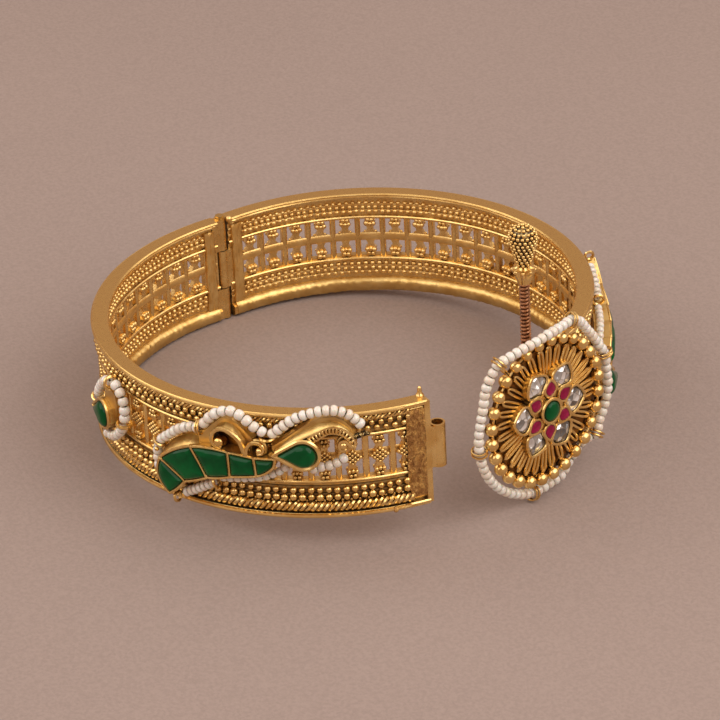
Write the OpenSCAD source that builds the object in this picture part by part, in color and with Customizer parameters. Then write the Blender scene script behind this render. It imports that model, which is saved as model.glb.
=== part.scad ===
// Kundan bangle: a hinged kada in two half arms, with an inlaid casting on each arm,
// a hexagonal flower rosette over the clasp and a loose screw that locks it.
// Millimetres, +Z along the hinge. The lower rims lie on z = 0 and the centre of
// the front arm's circle is on the Z axis, so +X runs from the hinge to the clasp.

/* [Band] */
// Outer radius of the rims
ring_r = 33; // [30:0.5:36]
// Radial width of the flat rims
rim_w = 2.3; // [2.1:0.1:2.6]
// Height of the band
band_h = 16; // [16:0.5:18]
// Outer radius of the pierced wall between the rims
wall_r = 32.2; // [32:0.05:32.3]
// Inner radius of the pierced wall
wall_in_r = 31.4; // [31.2:0.05:31.5]
// Angle from one upright bar of the gallery to the next
bar_pitch = 6.7; // [6.5:0.1:7.5]
// Half width of an upright bar
bar_half = 0.42; // [0.3:0.02:0.5]

/* [Opening] */
// How far the back arm stands open, in degrees from two true half circles
open_deg = 9.9; // [0:0.1:40]
// Distance from the hinge to the clasp screw
reach = 63.5; // [63:0.1:64]
// How far the screw stands above its seat
screw_lift = 10; // [8:0.5:11]

/* [Rosette] */
// Radius of the ring of gold beads
bead_ring_r = 10.5; // [10.3:0.1:11]
// Number of gold beads
bead_count = 28; // [24:1:28]
// Radius of a gold bead
bead_r = 0.84; // [0.7:0.02:0.84]
// Number of wire hairpins that fill the dish
hairpin_count = 32; // [24:1:36]

/* [Stones and strings] */
// Thickness of the gold edge round a stone
bezel_t = 0.3; // [0.25:0.05:0.4]
// Radius of a string of seed pearls
pearl_r = 0.75; // [0.6:0.05:0.8]

/* [Hidden] */
$fn = 48;

gold = [0.83, 0.62, 0.25];
green = [0.02, 0.33, 0.17];
ruby = [0.66, 0.05, 0.25];
clear = [0.86, 0.84, 0.80];
pearl = [0.94, 0.91, 0.88];
copper = [0.50, 0.30, 0.18];

// Air between pieces that touch on the real thing
gap = 0.05;
rim_in_r = ring_r - rim_w;
hinge_x = -(ring_r - rim_w / 2);

// Rims: thickness of their outer and inner lips, and how much their edges are softened
lip_t = 0.7;
inner_lip_t = 1.1;
inner_foot_t = 1.8;
soft = 0.15;

// Hinge: three knuckles on one pin, the middle one on the back arm
knuckle_r = 0.8;
hinge_pin_r = 0.4;
hinge_bore_r = 0.46;
hinge_tight_r = 0.43;
knuckle_low = 4.8;
knuckle_high = 11.05;
knuckle_top = 16.2;
knuckle_gap = 0.15;
web_t = 1.4;
web_bite = 0.6;
pin_foot = 0.1;
pin_head_r = 0.62;
pin_head_h = 0.3;
// Distance from the hinge line to the end of each arm's band
end_face = 1;

// Clasp: one eye on the front arm between two eyes on the back arm
clasp_front_deg = -0.8;
clasp_back_deg = 3.3;
eye_r = 1.1;
eye_bore_r = 0.8;
eye_low = 5;
eye_high = 11.5;
eye_gap = 0.3;
eye_top = 17.4;
strap_t = 1.2;
strap_in = 0.4;
strap_bite = 0.3;
strap_top = 15.6;
strap_step = 0.15;
plate_t = 0.85;
plate_off = 1.6;
plate_in_r = rim_in_r + 0.15;
plate_r = ring_r - 0.2;
plate_step = 0.2;
// Angle from an eye to the end of its arm's band
band_stop = 3.6;

// Gallery: heights of the rails that frame it
gallery_low = 5.75;
gallery_high = 11.75;
bar_start = 13.8;
front_columns = 24;
back_columns = 24;

function flat_sum(v) = [for (part = v) for (p = part) p];
function unit(v) = v / norm(v);
function left_of(v) = [-v[1], v[0]];
function mean_deg(v) = (min([for (p = v) p[0]]) + max([for (p = v) p[0]])) / 2;

// A point given in degrees round the arm and height, in the flat plane touching at mid
function flat(p, mid, r) = [(p[0] - mid) * PI / 180 * r, p[1]];

// Points from p up to q, bowed to the right of the way by bulge
function bowed(p, q, bulge, steps = 5) =
    norm(q - p) < 0.01 ? [] :
    [for (i = [0 : steps - 1])
        let (t = i / steps)
        p + (q - p) * t - left_of(unit(q - p)) * bulge * 4 * t * (1 - t)];

// A counter-clockwise outline moved inwards by d
function inset(v, d) =
    [for (i = [0 : len(v) - 1])
        let (n = len(v),
             a = left_of(unit(v[i] - v[(i + n - 1) % n])),
             b = left_of(unit(v[(i + 1) % n] - v[i])))
        v[i] + (a + b) * d / max(0.5, 1 + a * b)];

// A circle drawn out to a point on its left, counter-clockwise
function drop_outline(r, tip, steps = 14) =
    let (turn = acos(r / tip))
    concat([[-tip, 0]],
        [for (i = [0 : steps])
            let (a = -180 + turn + i * (360 - 2 * turn) / steps)
            [r * cos(a), r * sin(a)]]);

// Lofts one outline through rings, each [inset, height]
module loft(outline, rings) {
    n = len(outline);
    m = len(rings);
    points = [for (ring = rings) for (p = inset(outline, ring[0])) [p[0], p[1], ring[1]]];
    sides = [for (k = [0 : m - 2]) for (i = [0 : n - 1])
        let (j = (i + 1) % n)
        each [[k * n + i, (k + 1) * n + i, (k + 1) * n + j],
            [k * n + i, (k + 1) * n + j, k * n + j]]];
    floor_face = [[for (i = [0 : n - 1]) i]];
    top_face = [[for (i = [0 : n - 1]) m * n - 1 - i]];
    polyhedron(points, concat(floor_face, sides, top_face), convexity = 4);
}

// An eight-sided tube along a route, open with flat ends or closed in a loop
module tube(route, r, up, closed = false) {
    n = len(route);
    sides = 8;
    function pick(i) = closed ? route[(i + n) % n] : route[min(max(i, 0), n - 1)];
    points = [for (i = [0 : n - 1])
        let (along = unit(pick(i + 1) - pick(i - 1)),
             out = unit(up[i] - along * (along * up[i])),
             side = cross(along, out))
        for (k = [0 : sides - 1])
            route[i] + r * (out * cos(k * 360 / sides) + side * sin(k * 360 / sides))];
    spans = closed ? n : n - 1;
    skin = [for (i = [0 : spans - 1]) for (k = [0 : sides - 1])
        let (a = i * sides, b = ((i + 1) % n) * sides, j = (k + 1) % sides)
        each [[a + k, b + k, b + j], [a + k, b + j, a + j]]];
    ends = closed ? [] :
        [[for (k = [0 : sides - 1]) k], [for (k = [0 : sides - 1]) n * sides - 1 - k]];
    polyhedron(points, concat(skin, ends), convexity = 6);
}

// Sets a flat drawing against the arm: x round the arm, y up, z outwards
module on_arm(deg, z = 0) rotate([0, 0, deg]) translate([0, 0, z]) rotate([90, 0, 90]) children();

// Swings a thing of the back arm to where the photo shows it
module opened()
    translate([hinge_x, 0, 0]) rotate([0, 0, open_deg]) translate([-hinge_x, 0, 0])
        children();

// Turns the front arm's casting half a turn, which is how the back arm carries it
module half_turn() translate([0, 0, band_h]) rotate([180, 0, 0]) children();

module back_turned() opened() half_turn() children();

// Band

// A raised ridge of the profile, as points from its lower to its upper foot
function ridge(z, half, r, out) = [
    [r, z - half], [r + out * 0.75, z - half * 0.75], [r + out, z - half * 0.3],
    [r + out, z + half * 0.3], [r + out * 0.75, z + half * 0.75], [r, z + half]
];

outer_ridges = [
    // height, half width, rise
    [1.55, 0.5, 0.5], [3.35, 0.3, 0.2], [4.45, 0.3, 0.2], [5.4, 0.3, 0.45],
    [12.2, 0.3, 0.45], [13.35, 0.3, 0.2], [14.15, 0.25, 0.2], [14.9, 0.3, 0.45]
];
inner_ridges = [
    // height, half width, rise
    [14, 0.3, 0.2], [13, 0.3, 0.2], [12, 0.3, 0.4], [5.2, 0.35, 0.4], [3.9, 0.3, 0.2], [3, 0.3, 0.2]
];

function backwards(v) = [for (i = [len(v) - 1 : -1 : 0]) v[i]];

// The rims' outlines, counter-clockwise, from the lower rim's inside round to the upper's
function lower_rim() = [
    [rim_in_r, 2 * soft], [rim_in_r + 2 * soft, 0], [ring_r - soft, 0],
    [ring_r, soft], [ring_r, lip_t - soft], [ring_r - soft, lip_t], [wall_r, lip_t]
];
function upper_rim() = [
    [wall_r, band_h - lip_t], [ring_r - soft, band_h - lip_t], [ring_r, band_h - lip_t + soft],
    [ring_r, band_h - soft], [ring_r - soft, band_h], [rim_in_r + soft, band_h],
    [rim_in_r, band_h - soft], [rim_in_r, band_h - inner_lip_t + 2 * soft], [wall_in_r, band_h - inner_lip_t]
];
function inner_foot() = [[wall_in_r, inner_foot_t], [rim_in_r, inner_foot_t - 2 * soft]];

function band_profile() = concat(
    lower_rim(),
    flat_sum([for (row = outer_ridges) ridge(row[0], row[1], wall_r, row[2])]),
    upper_rim(),
    flat_sum([for (row = inner_ridges) backwards(ridge(row[0], row[1], wall_in_r, -row[2]))]),
    inner_foot());

// Half widths of a granulated column, up the gallery
column_shape = [
    // share of the gallery's height, half width
    [0, 0.5], [0.15, 0.75], [0.3, 0.4], [0.5, 0.95], [0.7, 0.4], [0.85, 0.75], [1, 0.5]
];

// A column's openings, cut through the wall at deg on its left (-1), its right (1) or both
module column_gaps(deg, sides = [-1, 1]) {
    high = gallery_high - gallery_low;
    to_bar = bar_pitch / 2 * PI / 180 * wall_r - bar_half;
    for (side = sides)
        on_arm(deg)
            translate([0, gallery_low, wall_in_r - 1])
                linear_extrude(wall_r - wall_in_r + 2)
                    polygon(concat([for (row = column_shape) [side * row[1], row[0] * high]],
                        [[side * to_bar, high], [side * to_bar, 0]]));
}

// A stretch of band from one angle to another
module band_arc(from, to)
    rotate_extrude(angle = to - from, start = from, $fn = 96)
        polygon(band_profile());

// One hinge knuckle with the block that joins it to its arm (side is 1 or -1)
module knuckle(low, high, side) {
    translate([hinge_x, 0, low]) cylinder(h = high - low, r = knuckle_r);
    translate([hinge_x - web_t / 2, side > 0 ? 0 : -end_face - web_bite, low])
        cube([web_t, end_face + web_bite, min(high, band_h) - low]);
}

module hinge_bore(r) translate([hinge_x, 0, -1]) cylinder(h = knuckle_top + 2, r = r);

// Where a clasp eye stands, in its own arm's frame
function clasp_at(deg) = [hinge_x + reach * cos(deg), reach * sin(deg)];
function round_deg(p) = atan2(p[1], p[0]);

// One clasp eye with the strap that joins it to its arm's end plate (side is 1 or -1)
module clasp_eye(deg, low, high, side) {
    at = clasp_at(deg);
    translate([at[0], at[1], low]) cylinder(h = high - low, r = eye_r);
    strap_low = low + strap_step;
    translate([at[0], at[1], strap_low])
        rotate([0, 0, round_deg(at)])
            translate([-strap_in, side > 0 ? 0 : -plate_off - strap_bite, 0])
                cube([strap_t, plate_off + strap_bite, min(high - strap_step, strap_top) - strap_low]);
}

module clasp_bore(deg)
    translate([clasp_at(deg)[0], clasp_at(deg)[1], -1])
        cylinder(h = eye_top + 2, r = eye_bore_r);

// The plain plate that closes an arm at the clasp (side is 1 or -1)
module end_plate(deg, side) {
    at = clasp_at(deg);
    translate([at[0], at[1], plate_step])
        rotate([0, 0, round_deg(at)])
            translate([plate_in_r - norm(at), side > 0 ? plate_off : -plate_off - plate_t, 0])
                cube([plate_r - plate_in_r, plate_t, band_h - 2 * plate_step]);
}

module front_band() color(gold) difference() {
    union() {
        difference() {
            band_arc(-180 + asin(end_face / ring_r), round_deg(clasp_at(clasp_front_deg)) - band_stop);
            for (k = [0 : front_columns - 1]) column_gaps(-bar_start - bar_pitch * (k + 0.5));
            column_gaps(-bar_start + bar_pitch / 2, [-1]);
        }
        end_plate(clasp_front_deg, -1);
        clasp_eye(clasp_front_deg, eye_low, eye_high, -1);
        knuckle(0, knuckle_low, -1);
        knuckle(knuckle_high, knuckle_top, -1);
    }
    hinge_bore(hinge_tight_r);
    clasp_bore(clasp_front_deg);
}

module back_band() color(gold) opened() difference() {
    union() {
        difference() {
            band_arc(round_deg(clasp_at(clasp_back_deg)) + band_stop, 180 - asin(end_face / ring_r));
            for (k = [0 : back_columns - 1]) column_gaps(bar_start + bar_pitch * (k + 0.5));
        }
        end_plate(clasp_back_deg, 1);
        clasp_eye(clasp_back_deg, 0, eye_low - eye_gap, 1);
        clasp_eye(clasp_back_deg, eye_high + eye_gap, eye_top, 1);
        knuckle(knuckle_low + knuckle_gap, knuckle_high - knuckle_gap, 1);
    }
    hinge_bore(hinge_bore_r);
    clasp_bore(clasp_back_deg);
}

module hinge_pin() color(gold) translate([hinge_x, 0, 0]) {
    translate([0, 0, pin_foot]) cylinder(h = knuckle_top - pin_foot + pin_head_h, r = hinge_pin_r);
    translate([0, 0, knuckle_top + gap]) cylinder(h = pin_head_h, r = pin_head_r);
}

// Inlaid casting: a feather of five stones, a drop stone, scrolls and a scalloped crest

// Radii of the casting's seat on the band, its foot, its face, its pockets' floors and its stones' tops
seat_r = ring_r + gap;
root_r = ring_r - 1.5;
face_r = 35.3;
pocket_r = 34.4;
stone_top_r = 35.75;
hood_r = 34.3;
crest_r = 34.2;
scroll_r = 34;
// Depth of a cut that opens a pocket to the outside
open_cut = 4;

feather_count = 5;
feather_rows = [
    // upper end: degrees, height, lower end: degrees, height, bows of the upper and lower edges after it
    [-68, 2.0, -68, 2.0, 1.3, 0.15],
    [-70, 7.3, -63.4, 4.7, 0.35, 0.1],
    [-61.2, 10.5, -57.5, 6.2, 0.2, 0.15],
    [-52, 10.7, -51.8, 7.0, 0.0, 0.05],
    [-46, 10.3, -45.6, 7.6, -0.05, 0.25],
    [-41.2, 10.4, -41.6, 9.2, 0, 0]
];

function feather_mid(i) =
    let (a = feather_rows[i], b = feather_rows[i + 1])
    (a[0] + a[2] + b[0] + b[2]) / 4;

// One cell's outline, counter-clockwise from the foot of its left wall
function feather_cell(i) =
    let (a = feather_rows[i], b = feather_rows[i + 1], mid = feather_mid(i),
         low_a = flat([a[2], a[3]], mid, face_r), low_b = flat([b[2], b[3]], mid, face_r),
         up_b = flat([b[0], b[1]], mid, face_r), up_a = flat([a[0], a[1]], mid, face_r))
    concat(bowed(low_a, low_b, a[5]), bowed(low_b, up_b, 0, 3),
        bowed(up_b, up_a, a[4]), bowed(up_a, low_a, 0, 3));

drop_mid = -34.9;
drop_z = 11.2;
drop_r = 1.9;
drop_tip = 3.7;

hood_outline = [
    // degrees, height, counter-clockwise round the plain hood above the drop stone
    [-41.6, 11.3], [-39, 12.3], [-36, 13.2], [-33.4, 13.9], [-31, 14.8], [-28.4, 15.1],
    [-26, 14.8], [-24.5, 13.7], [-23.5, 13.5], [-24.1, 14.7], [-25.8, 15.8], [-27.8, 16.4],
    [-30.4, 16.3], [-33.2, 15.6], [-36, 14.5], [-39, 13.1], [-41.8, 12]
];
crest_outline = [
    // degrees, height, counter-clockwise round the plain crest above the big scroll
    [-59.6, 10.3], [-56.6, 10.4], [-57.2, 12.2], [-56, 13.2], [-53.6, 14.1], [-51, 13.6],
    [-49.2, 11.9], [-48.2, 10.6], [-47.2, 10.4], [-46.7, 12.7], [-49, 14.1],
    [-51.4, 15.3], [-54, 15.3], [-56.45, 13.9], [-58.2, 12.85], [-59.8, 12.7]
];
drop_bar = [
    // degrees, height, counter-clockwise round the bar from the feather to the drop's setting
    [-43, 9.6], [-40, 10.4], [-38, 11.4], [-40.5, 11.8], [-43, 10.6]
];

function outline_at(v, mid) = [for (p = v) flat(p, mid, face_r)];

// A flat piece of the casting, from the arm out to the radius top
module slab(v, top)
    on_arm(mean_deg(v))
        translate([0, 0, root_r])
            linear_extrude(top - root_r)
                polygon(outline_at(v, mean_deg(v)));

// A bow of wire standing on the casting, a whole ring unless from and turn say less
module curl(deg, z, r, wire, out, from = 0, turn = 360) on_arm(deg, z)
    translate([0, 0, out])
        rotate_extrude(angle = turn, start = from)
            translate([r, 0]) circle(wire, $fn = 24);

module knob(deg, z, r, out) rotate([0, 0, deg]) translate([out, 0, z]) sphere(r, $fn = 24);

// The seat that a casting's foot is cut to, so that it lies on the band
module band_seat() translate([0, 0, -1]) cylinder(h = band_h + 4, r = seat_r, $fn = 360);

module casting() color(gold) difference() {
    union() {
        for (i = [0 : feather_count - 1])
            on_arm(feather_mid(i))
                translate([0, 0, root_r])
                    linear_extrude(face_r - root_r)
                        polygon(inset(feather_cell(i), -0.18));
        on_arm(drop_mid, drop_z)
            translate([0, 0, root_r])
                linear_extrude(face_r + 0.1 - root_r)
                    polygon(inset(drop_outline(drop_r, drop_tip), -bezel_t));
        slab(hood_outline, hood_r);
        slab(crest_outline, crest_r);
        // Small scroll beside the big one, and the balls in both their openings
        curl(-45.7, 11.2, 1.2, 0.3, scroll_r + 0.1);
        knob(-44.6, 11.2, 0.55, scroll_r + 0.1);
        knob(-54.4, 11.5, 0.78, scroll_r);
        // Scalloped crescent that ends in a small curl
        curl(-28.4, 12, 2.85, 0.42, scroll_r, from = 5, turn = 140);
        curl(-25.6, 12.2, 0.85, 0.3, scroll_r);
        knob(-26, 12.1, 0.6, scroll_r);
        slab(drop_bar, pocket_r);
    }
    band_seat();
    for (i = [0 : feather_count - 1])
        on_arm(feather_mid(i))
            translate([0, 0, pocket_r])
                linear_extrude(open_cut)
                    polygon(inset(feather_cell(i), 0.17 - gap));
    on_arm(drop_mid, drop_z)
        translate([0, 0, pocket_r])
            linear_extrude(open_cut)
                polygon(drop_outline(drop_r, drop_tip));
}

module inlay(i) color(green) on_arm(feather_mid(i - 1))
    loft(inset(feather_cell(i - 1), 0.17),
        [[0, pocket_r + gap], [0, face_r + 0.05], [0.3, stone_top_r]]);

module drop_stone() color(green) on_arm(drop_mid, drop_z)
    loft(drop_outline(drop_r - gap, drop_tip - 2 * gap),
        [[0, pocket_r + gap], [0, face_r + 0.1], [0.35, stone_top_r + 0.1], [0.85, stone_top_r + 0.3]]);

// Strings of seed pearls on the casting
strings = [
    // degrees, height, radius
    [[-71.2, 9.3, 34.2], [-68.5, 10.6, 34.2], [-65.6, 11.9, 34.2], [-62.8, 12.7, 34.2], [-60.6, 12.9, 34.2]],
    [[-58.3, 14, 34.4], [-56.4, 15.3, 34.4], [-53.8, 16.3, 34.4], [-51, 16.6, 34.4], [-48.6, 15.9, 34.4],
        [-46.2, 14.7, 34.4], [-44.2, 14, 34.4]],
    [[-41.8, 13.8, 34.4], [-39.4, 15, 34.4], [-36.4, 16.3, 34.4], [-33.2, 17, 34.4], [-30, 17.4, 34.4],
        [-27, 17.3, 34.4], [-24.2, 16.5, 34.4], [-22, 15.1, 34.4]],
    [[-72.4, 8.2, 34.1], [-73.05, 6.6, 34.1], [-72.9, 5, 34.1]],
    [[-64.8, 2.2, 34], [-62.4, 2.9, 34], [-60, 3.8, 34], [-57.4, 4.7, 34]],
    [[-54.6, 5.4, 33.9], [-50, 5.7, 33.9], [-45.4, 6.3, 33.9], [-41.6, 7.3, 33.9], [-39.4, 8.3, 33.9]],
    [[-33, 8.3, 33.9], [-30.6, 8.6, 33.9], [-28.2, 8.9, 33.9], [-26, 9.7, 33.9]]
];

// The back arm's hood string stops short of the rosette
back_strings = [
    for (v = strings)
        let (ends = max([for (p = v) p[0]]))
        ends > -24 ? [for (p = v) if (p[0] < -25) p] : v
];

function string_point(p) = [p[2] * cos(p[0]), p[2] * sin(p[0]), p[1]];
function outwards(p) = [cos(p[0]), sin(p[0]), 0];

module pearl_strings(list) color(pearl) for (v = list)
    tube([for (p = v) string_point(p)], pearl_r, [for (p = v) outwards(p)]);

// Leaf: a small drop stone in a plain mount with three short strings round it

leaf_mid = -94;
leaf_z = 7.8;
leaf_r = 1.95;
leaf_tip = 3.1;
leaf_face_r = 34.7;
leaf_pocket_r = 33.8;
leaf_stem_r = 34.1;

leaf_stem = [
    // degrees, height, counter-clockwise round the bar behind the leaf
    [-95, 9], [-92, 7], [-89.2, 8.2], [-88, 10.4], [-88.8, 12], [-91, 12.2], [-94, 11.2]
];
leaf_strings = [
    // degrees, height, radius
    [[-99.6, 9.4, 34], [-97.2, 11.2, 34], [-94.4, 12.6, 34], [-91.8, 13.4, 34]],
    [[-88.2, 13.6, 34], [-86, 12.6, 34], [-85, 11, 34], [-85.2, 9.2, 34]],
    [[-86.6, 7.2, 34], [-88.8, 5.8, 34], [-91.6, 4.8, 34], [-94.6, 4.4, 34]]
];

module leaf_mount() color(gold) difference() {
    union() {
        on_arm(leaf_mid, leaf_z)
            translate([0, 0, root_r])
                linear_extrude(leaf_face_r - root_r)
                    polygon(inset(drop_outline(leaf_r, leaf_tip), -bezel_t));
        slab(leaf_stem, leaf_stem_r);
    }
    band_seat();
    on_arm(leaf_mid, leaf_z)
        translate([0, 0, leaf_pocket_r])
            linear_extrude(open_cut)
                polygon(drop_outline(leaf_r, leaf_tip));
}

module leaf_stone() color(green) on_arm(leaf_mid, leaf_z)
    loft(drop_outline(leaf_r - gap, leaf_tip - 2 * gap),
        [[0, leaf_pocket_r + gap], [0, leaf_face_r + 0.1],
            [0.35, leaf_face_r + 0.5], [0.85, leaf_face_r + 0.7]]);

// Rosette: x to the right seen from outside, y up, z outwards from the bead ring's plane

rosette_deg = 8.9;
rosette_turn = 4.4;
rosette_r = 33.9;
dish_back = -0.75;
dish_face = -0.35;
dish_r = 9.55;
leg_x = 5;
leg_y = 7.3;
leg_r = 0.6;
leg_foot = -1.1;
flower_base = -0.2;
flower_face = 0.85;

// Hairpins: where their wires start and end, half their width and how far a pair leans together
hairpin_in_r = 5.4;
hairpin_out_r = 9.3;
hairpin_half_deg = 1.35;
hairpin_lean_deg = 0.8;

module at_rosette() opened()
    translate([rosette_r * cos(rosette_deg), rosette_r * sin(rosette_deg), band_h / 2])
        rotate([0, 0, rosette_turn])
            rotate([90, 0, 90])
                children();

// The outline of the hairpins: pairs of wires that run out from the flower
function hairpins() = [for (k = [0 : 2 * hairpin_count - 1])
    let (deg = (k + 0.5) * 180 / hairpin_count,
         out_deg = deg + (k % 2 == 0 ? 1 : -1) * hairpin_lean_deg,
         w = hairpin_half_deg)
    each [[hairpin_in_r, deg - w * 1.5], [hairpin_out_r, out_deg - w],
        [hairpin_out_r, out_deg + w], [hairpin_in_r, deg + w * 1.5]]];

module rosette_dish() color(gold) at_rosette() {
    translate([0, 0, dish_back]) cylinder(h = dish_face - dish_back, r = dish_r, $fn = 72);
    translate([0, 0, dish_face - 0.1])
        linear_extrude(flower_base - gap - dish_face + 0.1)
            polygon([for (p = hairpins()) [p[0] * cos(p[1]), p[0] * sin(p[1])]]);
    // Short legs down to the band's rims
    for (side = [-1, 1])
        translate([leg_x, side * leg_y, leg_foot])
            cylinder(h = dish_back - leg_foot + 0.1, r = leg_r);
}

// The pearls' string round the rosette, which lies over the beads at the top
string_rows = [
    // angle in the rosette's plane, distance from its centre, height
    [66.5, 12.95, 0.2], [76, 12.4, 0.7], [91, 12.1, 1.1], [104, 12.25, 1.1], [116, 12.85, 0.8],
    [130, 14.05, 0.2], [135, 13.95, 0], [143, 13.5, -0.35], [150, 12.9, -0.6], [158, 12.4, -0.6],
    [168, 12.4, -0.6], [178, 12.55, -0.6], [188, 12.65, -0.6], [201, 12.7, -0.6], [215, 12.7, -0.6],
    [230, 12.65, -0.6], [245, 12.6, -0.6], [258, 12.6, -0.6], [270, 12.4, -0.6], [284, 12.45, -0.6],
    [302, 12.7, -0.6], [321, 12.9, -0.25], [330, 12.85, -0.6], [340, 13.05, -0.6], [352, 13.05, -0.6],
    [365, 12.75, -0.6], [376, 12.95, -0.6], [383, 12.5, -0.6], [390, 12.4, -0.6], [399, 12.3, -0.4],
    [409, 12.5, -0.2], [417, 12.9, 0]
];
// Which rows of the string pass through a wire loop
hook_rows = [0, 5, 12, 17, 21, 26];
stem_z = -0.6;
stem_start = dish_r + gap;
hook_ring_r = 1.12;
hook_wire_r = 0.27;
stem_r = 0.23;

// The stem that carries a corner's loop, under the bead ring
module hook_stem(row, r) {
    meets = row[1] - sqrt(pow(hook_ring_r, 2) - pow(row[2] - stem_z, 2));
    rotate([0, 0, row[0]])
        translate([stem_start, 0, stem_z])
            rotate([0, 90, 0])
                cylinder(h = meets - stem_start, r = r, $fn = 24);
}

// A wire loop round the string at each corner
module rosette_hooks() color(gold) at_rosette() for (i = hook_rows) {
    row = string_rows[i];
    hook_stem(row, stem_r);
    rotate([0, 0, row[0]])
        translate([row[1], 0, row[2]])
            rotate([90, 0, 0])
                rotate_extrude() translate([hook_ring_r, 0]) circle(hook_wire_r, $fn = 24);
}

function rosette_route() = [for (row = string_rows) [row[1] * cos(row[0]), row[1] * sin(row[0]), row[2]]];

module rosette_pearls() color(pearl) at_rosette()
    tube(rosette_route(), pearl_r, [for (row = string_rows) [0, 0, 1]], closed = true);

bead_z = 0.12;
bead_wire_r = 0.35;

module gold_bead_ring() color(gold) at_rosette() difference() {
    translate([0, 0, bead_z]) {
        rotate_extrude($fn = 96) translate([bead_ring_r, 0]) circle(bead_wire_r, $fn = 24);
        for (k = [0 : bead_count - 1])
            rotate([0, 0, (k + 0.5) * 360 / bead_count])
                translate([bead_ring_r, 0, 0])
                    sphere(bead_r, $fn = 32);
    }
    for (i = hook_rows) hook_stem(string_rows[i], stem_r + gap);
}

polki_half = [
    // distance out from the flower's centre, half width
    [3.15, 0], [3.75, 0.85], [4.1, 1.55], [4.5, 1.95], [5, 2], [5.6, 1.7], [6.2, 1.1], [6.7, 0.4], [6.85, 0]
];
ruby_half = [
    // distance out from the flower's centre, half width
    [2.1, 0], [2.3, 0.5], [2.8, 0.95], [3.3, 1], [3.8, 0.75], [4.25, 0.35], [4.5, 0]
];
petal_count = 6;
petal_turn = 360 / petal_count;
petal_floor = 0.05;
petal_wall = 0.22;
flower_shift = [-0.3, 0.35];
flower_turn = -3;
hub_r = 3.4;
centre_r = 1.55;
centre_floor = 0.4;
centre_face = 1.3;

function petal(half) = concat(
    [for (row = half) [row[0], -row[1]]],
    [for (i = [len(half) - 2 : -1 : 1]) [half[i][0], half[i][1]]]);

module at_flower(turn = 0)
    at_rosette()
        translate([flower_shift[0], flower_shift[1], 0])
            rotate([0, 0, flower_turn + turn])
                children();

function ring_outline(r, steps = 16) =
    [for (i = [0 : steps - 1]) [r * cos(i * 360 / steps), r * sin(i * 360 / steps)]];

module flower_setting() color(gold) at_flower() difference() {
    translate([0, 0, flower_base]) {
        for (k = [0 : petal_count - 1]) rotate([0, 0, k * petal_turn]) {
            linear_extrude(flower_face - flower_base) polygon(inset(petal(polki_half), -petal_wall));
            rotate([0, 0, petal_turn / 2])
                linear_extrude(flower_face - flower_base + 0.1)
                    polygon(inset(petal(ruby_half), -petal_wall));
        }
        cylinder(h = flower_face - flower_base, r = hub_r);
        cylinder(h = centre_face - flower_base, r = centre_r + bezel_t);
    }
    translate([0, 0, petal_floor]) for (k = [0 : petal_count - 1]) rotate([0, 0, k * petal_turn]) {
        linear_extrude(open_cut) polygon(petal(polki_half));
        rotate([0, 0, petal_turn / 2]) linear_extrude(open_cut) polygon(petal(ruby_half));
    }
    translate([0, 0, centre_floor]) cylinder(h = open_cut, r = centre_r);
}

module polki(k) color(clear) at_flower((k - 1) * petal_turn)
    loft(inset(petal(polki_half), gap),
        [[0, petal_floor + gap], [0, flower_face - 0.15], [0.35, flower_face + 0.15]]);

module ruby(k) color(ruby) at_flower((k - 0.5) * petal_turn)
    loft(inset(petal(ruby_half), gap),
        [[0, petal_floor + gap], [0, flower_face], [0.3, flower_face + 0.25]]);

module centre_stone() color(green) at_flower()
    loft(ring_outline(centre_r - gap),
        [[0, centre_floor + gap], [0, centre_face], [0.3, centre_face + 0.4], [0.85, centre_face + 0.65]]);

// Screw: a granulated cone on a flared collar, with a threaded shank

shank_r = 0.72;
shank_top = 1.5;
shank_len = 16.4;
screw_seat = eye_top + gap;
head_profile = [
    // radius, height above the collar's foot
    [0, 0], [0.95, 0], [1.05, 0.5], [1.35, 1.3], [1.85, 1.9], [1.8, 2.2], [1.1, 2.35], [0.9, 2.7],
    [1.25, 3.6], [1.75, 5.1], [1.85, 6.2], [1.65, 7.3], [1.2, 8.2], [0.6, 8.6], [0, 8.7]
];

module at_screw()
    opened()
        translate([clasp_at(clasp_back_deg)[0], clasp_at(clasp_back_deg)[1], screw_seat + screw_lift])
            children();

module screw_head() color(gold) at_screw() difference() {
    rotate_extrude() polygon(head_profile);
    translate([0, 0, -1]) cylinder(h = 1 + shank_top + gap, r = shank_r + gap);
}

module screw_shank() color(copper) at_screw()
    translate([0, 0, shank_top - shank_len]) cylinder(h = shank_len, r = shank_r);

front_band();
hinge_pin();
casting();  // front_casting
for (i = [1 : feather_count]) inlay(i);
drop_stone();  // front_drop_stone
pearl_strings(strings);  // front_pearls
leaf_mount();  // front_leaf_mount
leaf_stone();  // front_leaf_stone
pearl_strings(leaf_strings);  // front_leaf_pearls
back_band();
back_turned() casting();  // back_casting
for (i = [1 : feather_count]) back_turned() inlay(i);
back_turned() drop_stone();  // back_drop_stone
back_turned() pearl_strings(back_strings);  // back_pearls
back_turned() leaf_mount();  // back_leaf_mount
back_turned() leaf_stone();  // back_leaf_stone
back_turned() pearl_strings(leaf_strings);  // back_leaf_pearls
rosette_dish();
rosette_hooks();
gold_bead_ring();
rosette_pearls();
flower_setting();
centre_stone();
for (k = [1 : petal_count]) ruby(k);
for (k = [1 : petal_count]) polki(k);
screw_head();
screw_shank();
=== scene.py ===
import functools
import math
import random

import bmesh
import bpy
import numpy as np
from bpy.props import FloatProperty, FloatVectorProperty, IntProperty, PointerProperty
from mathutils import Matrix


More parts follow.
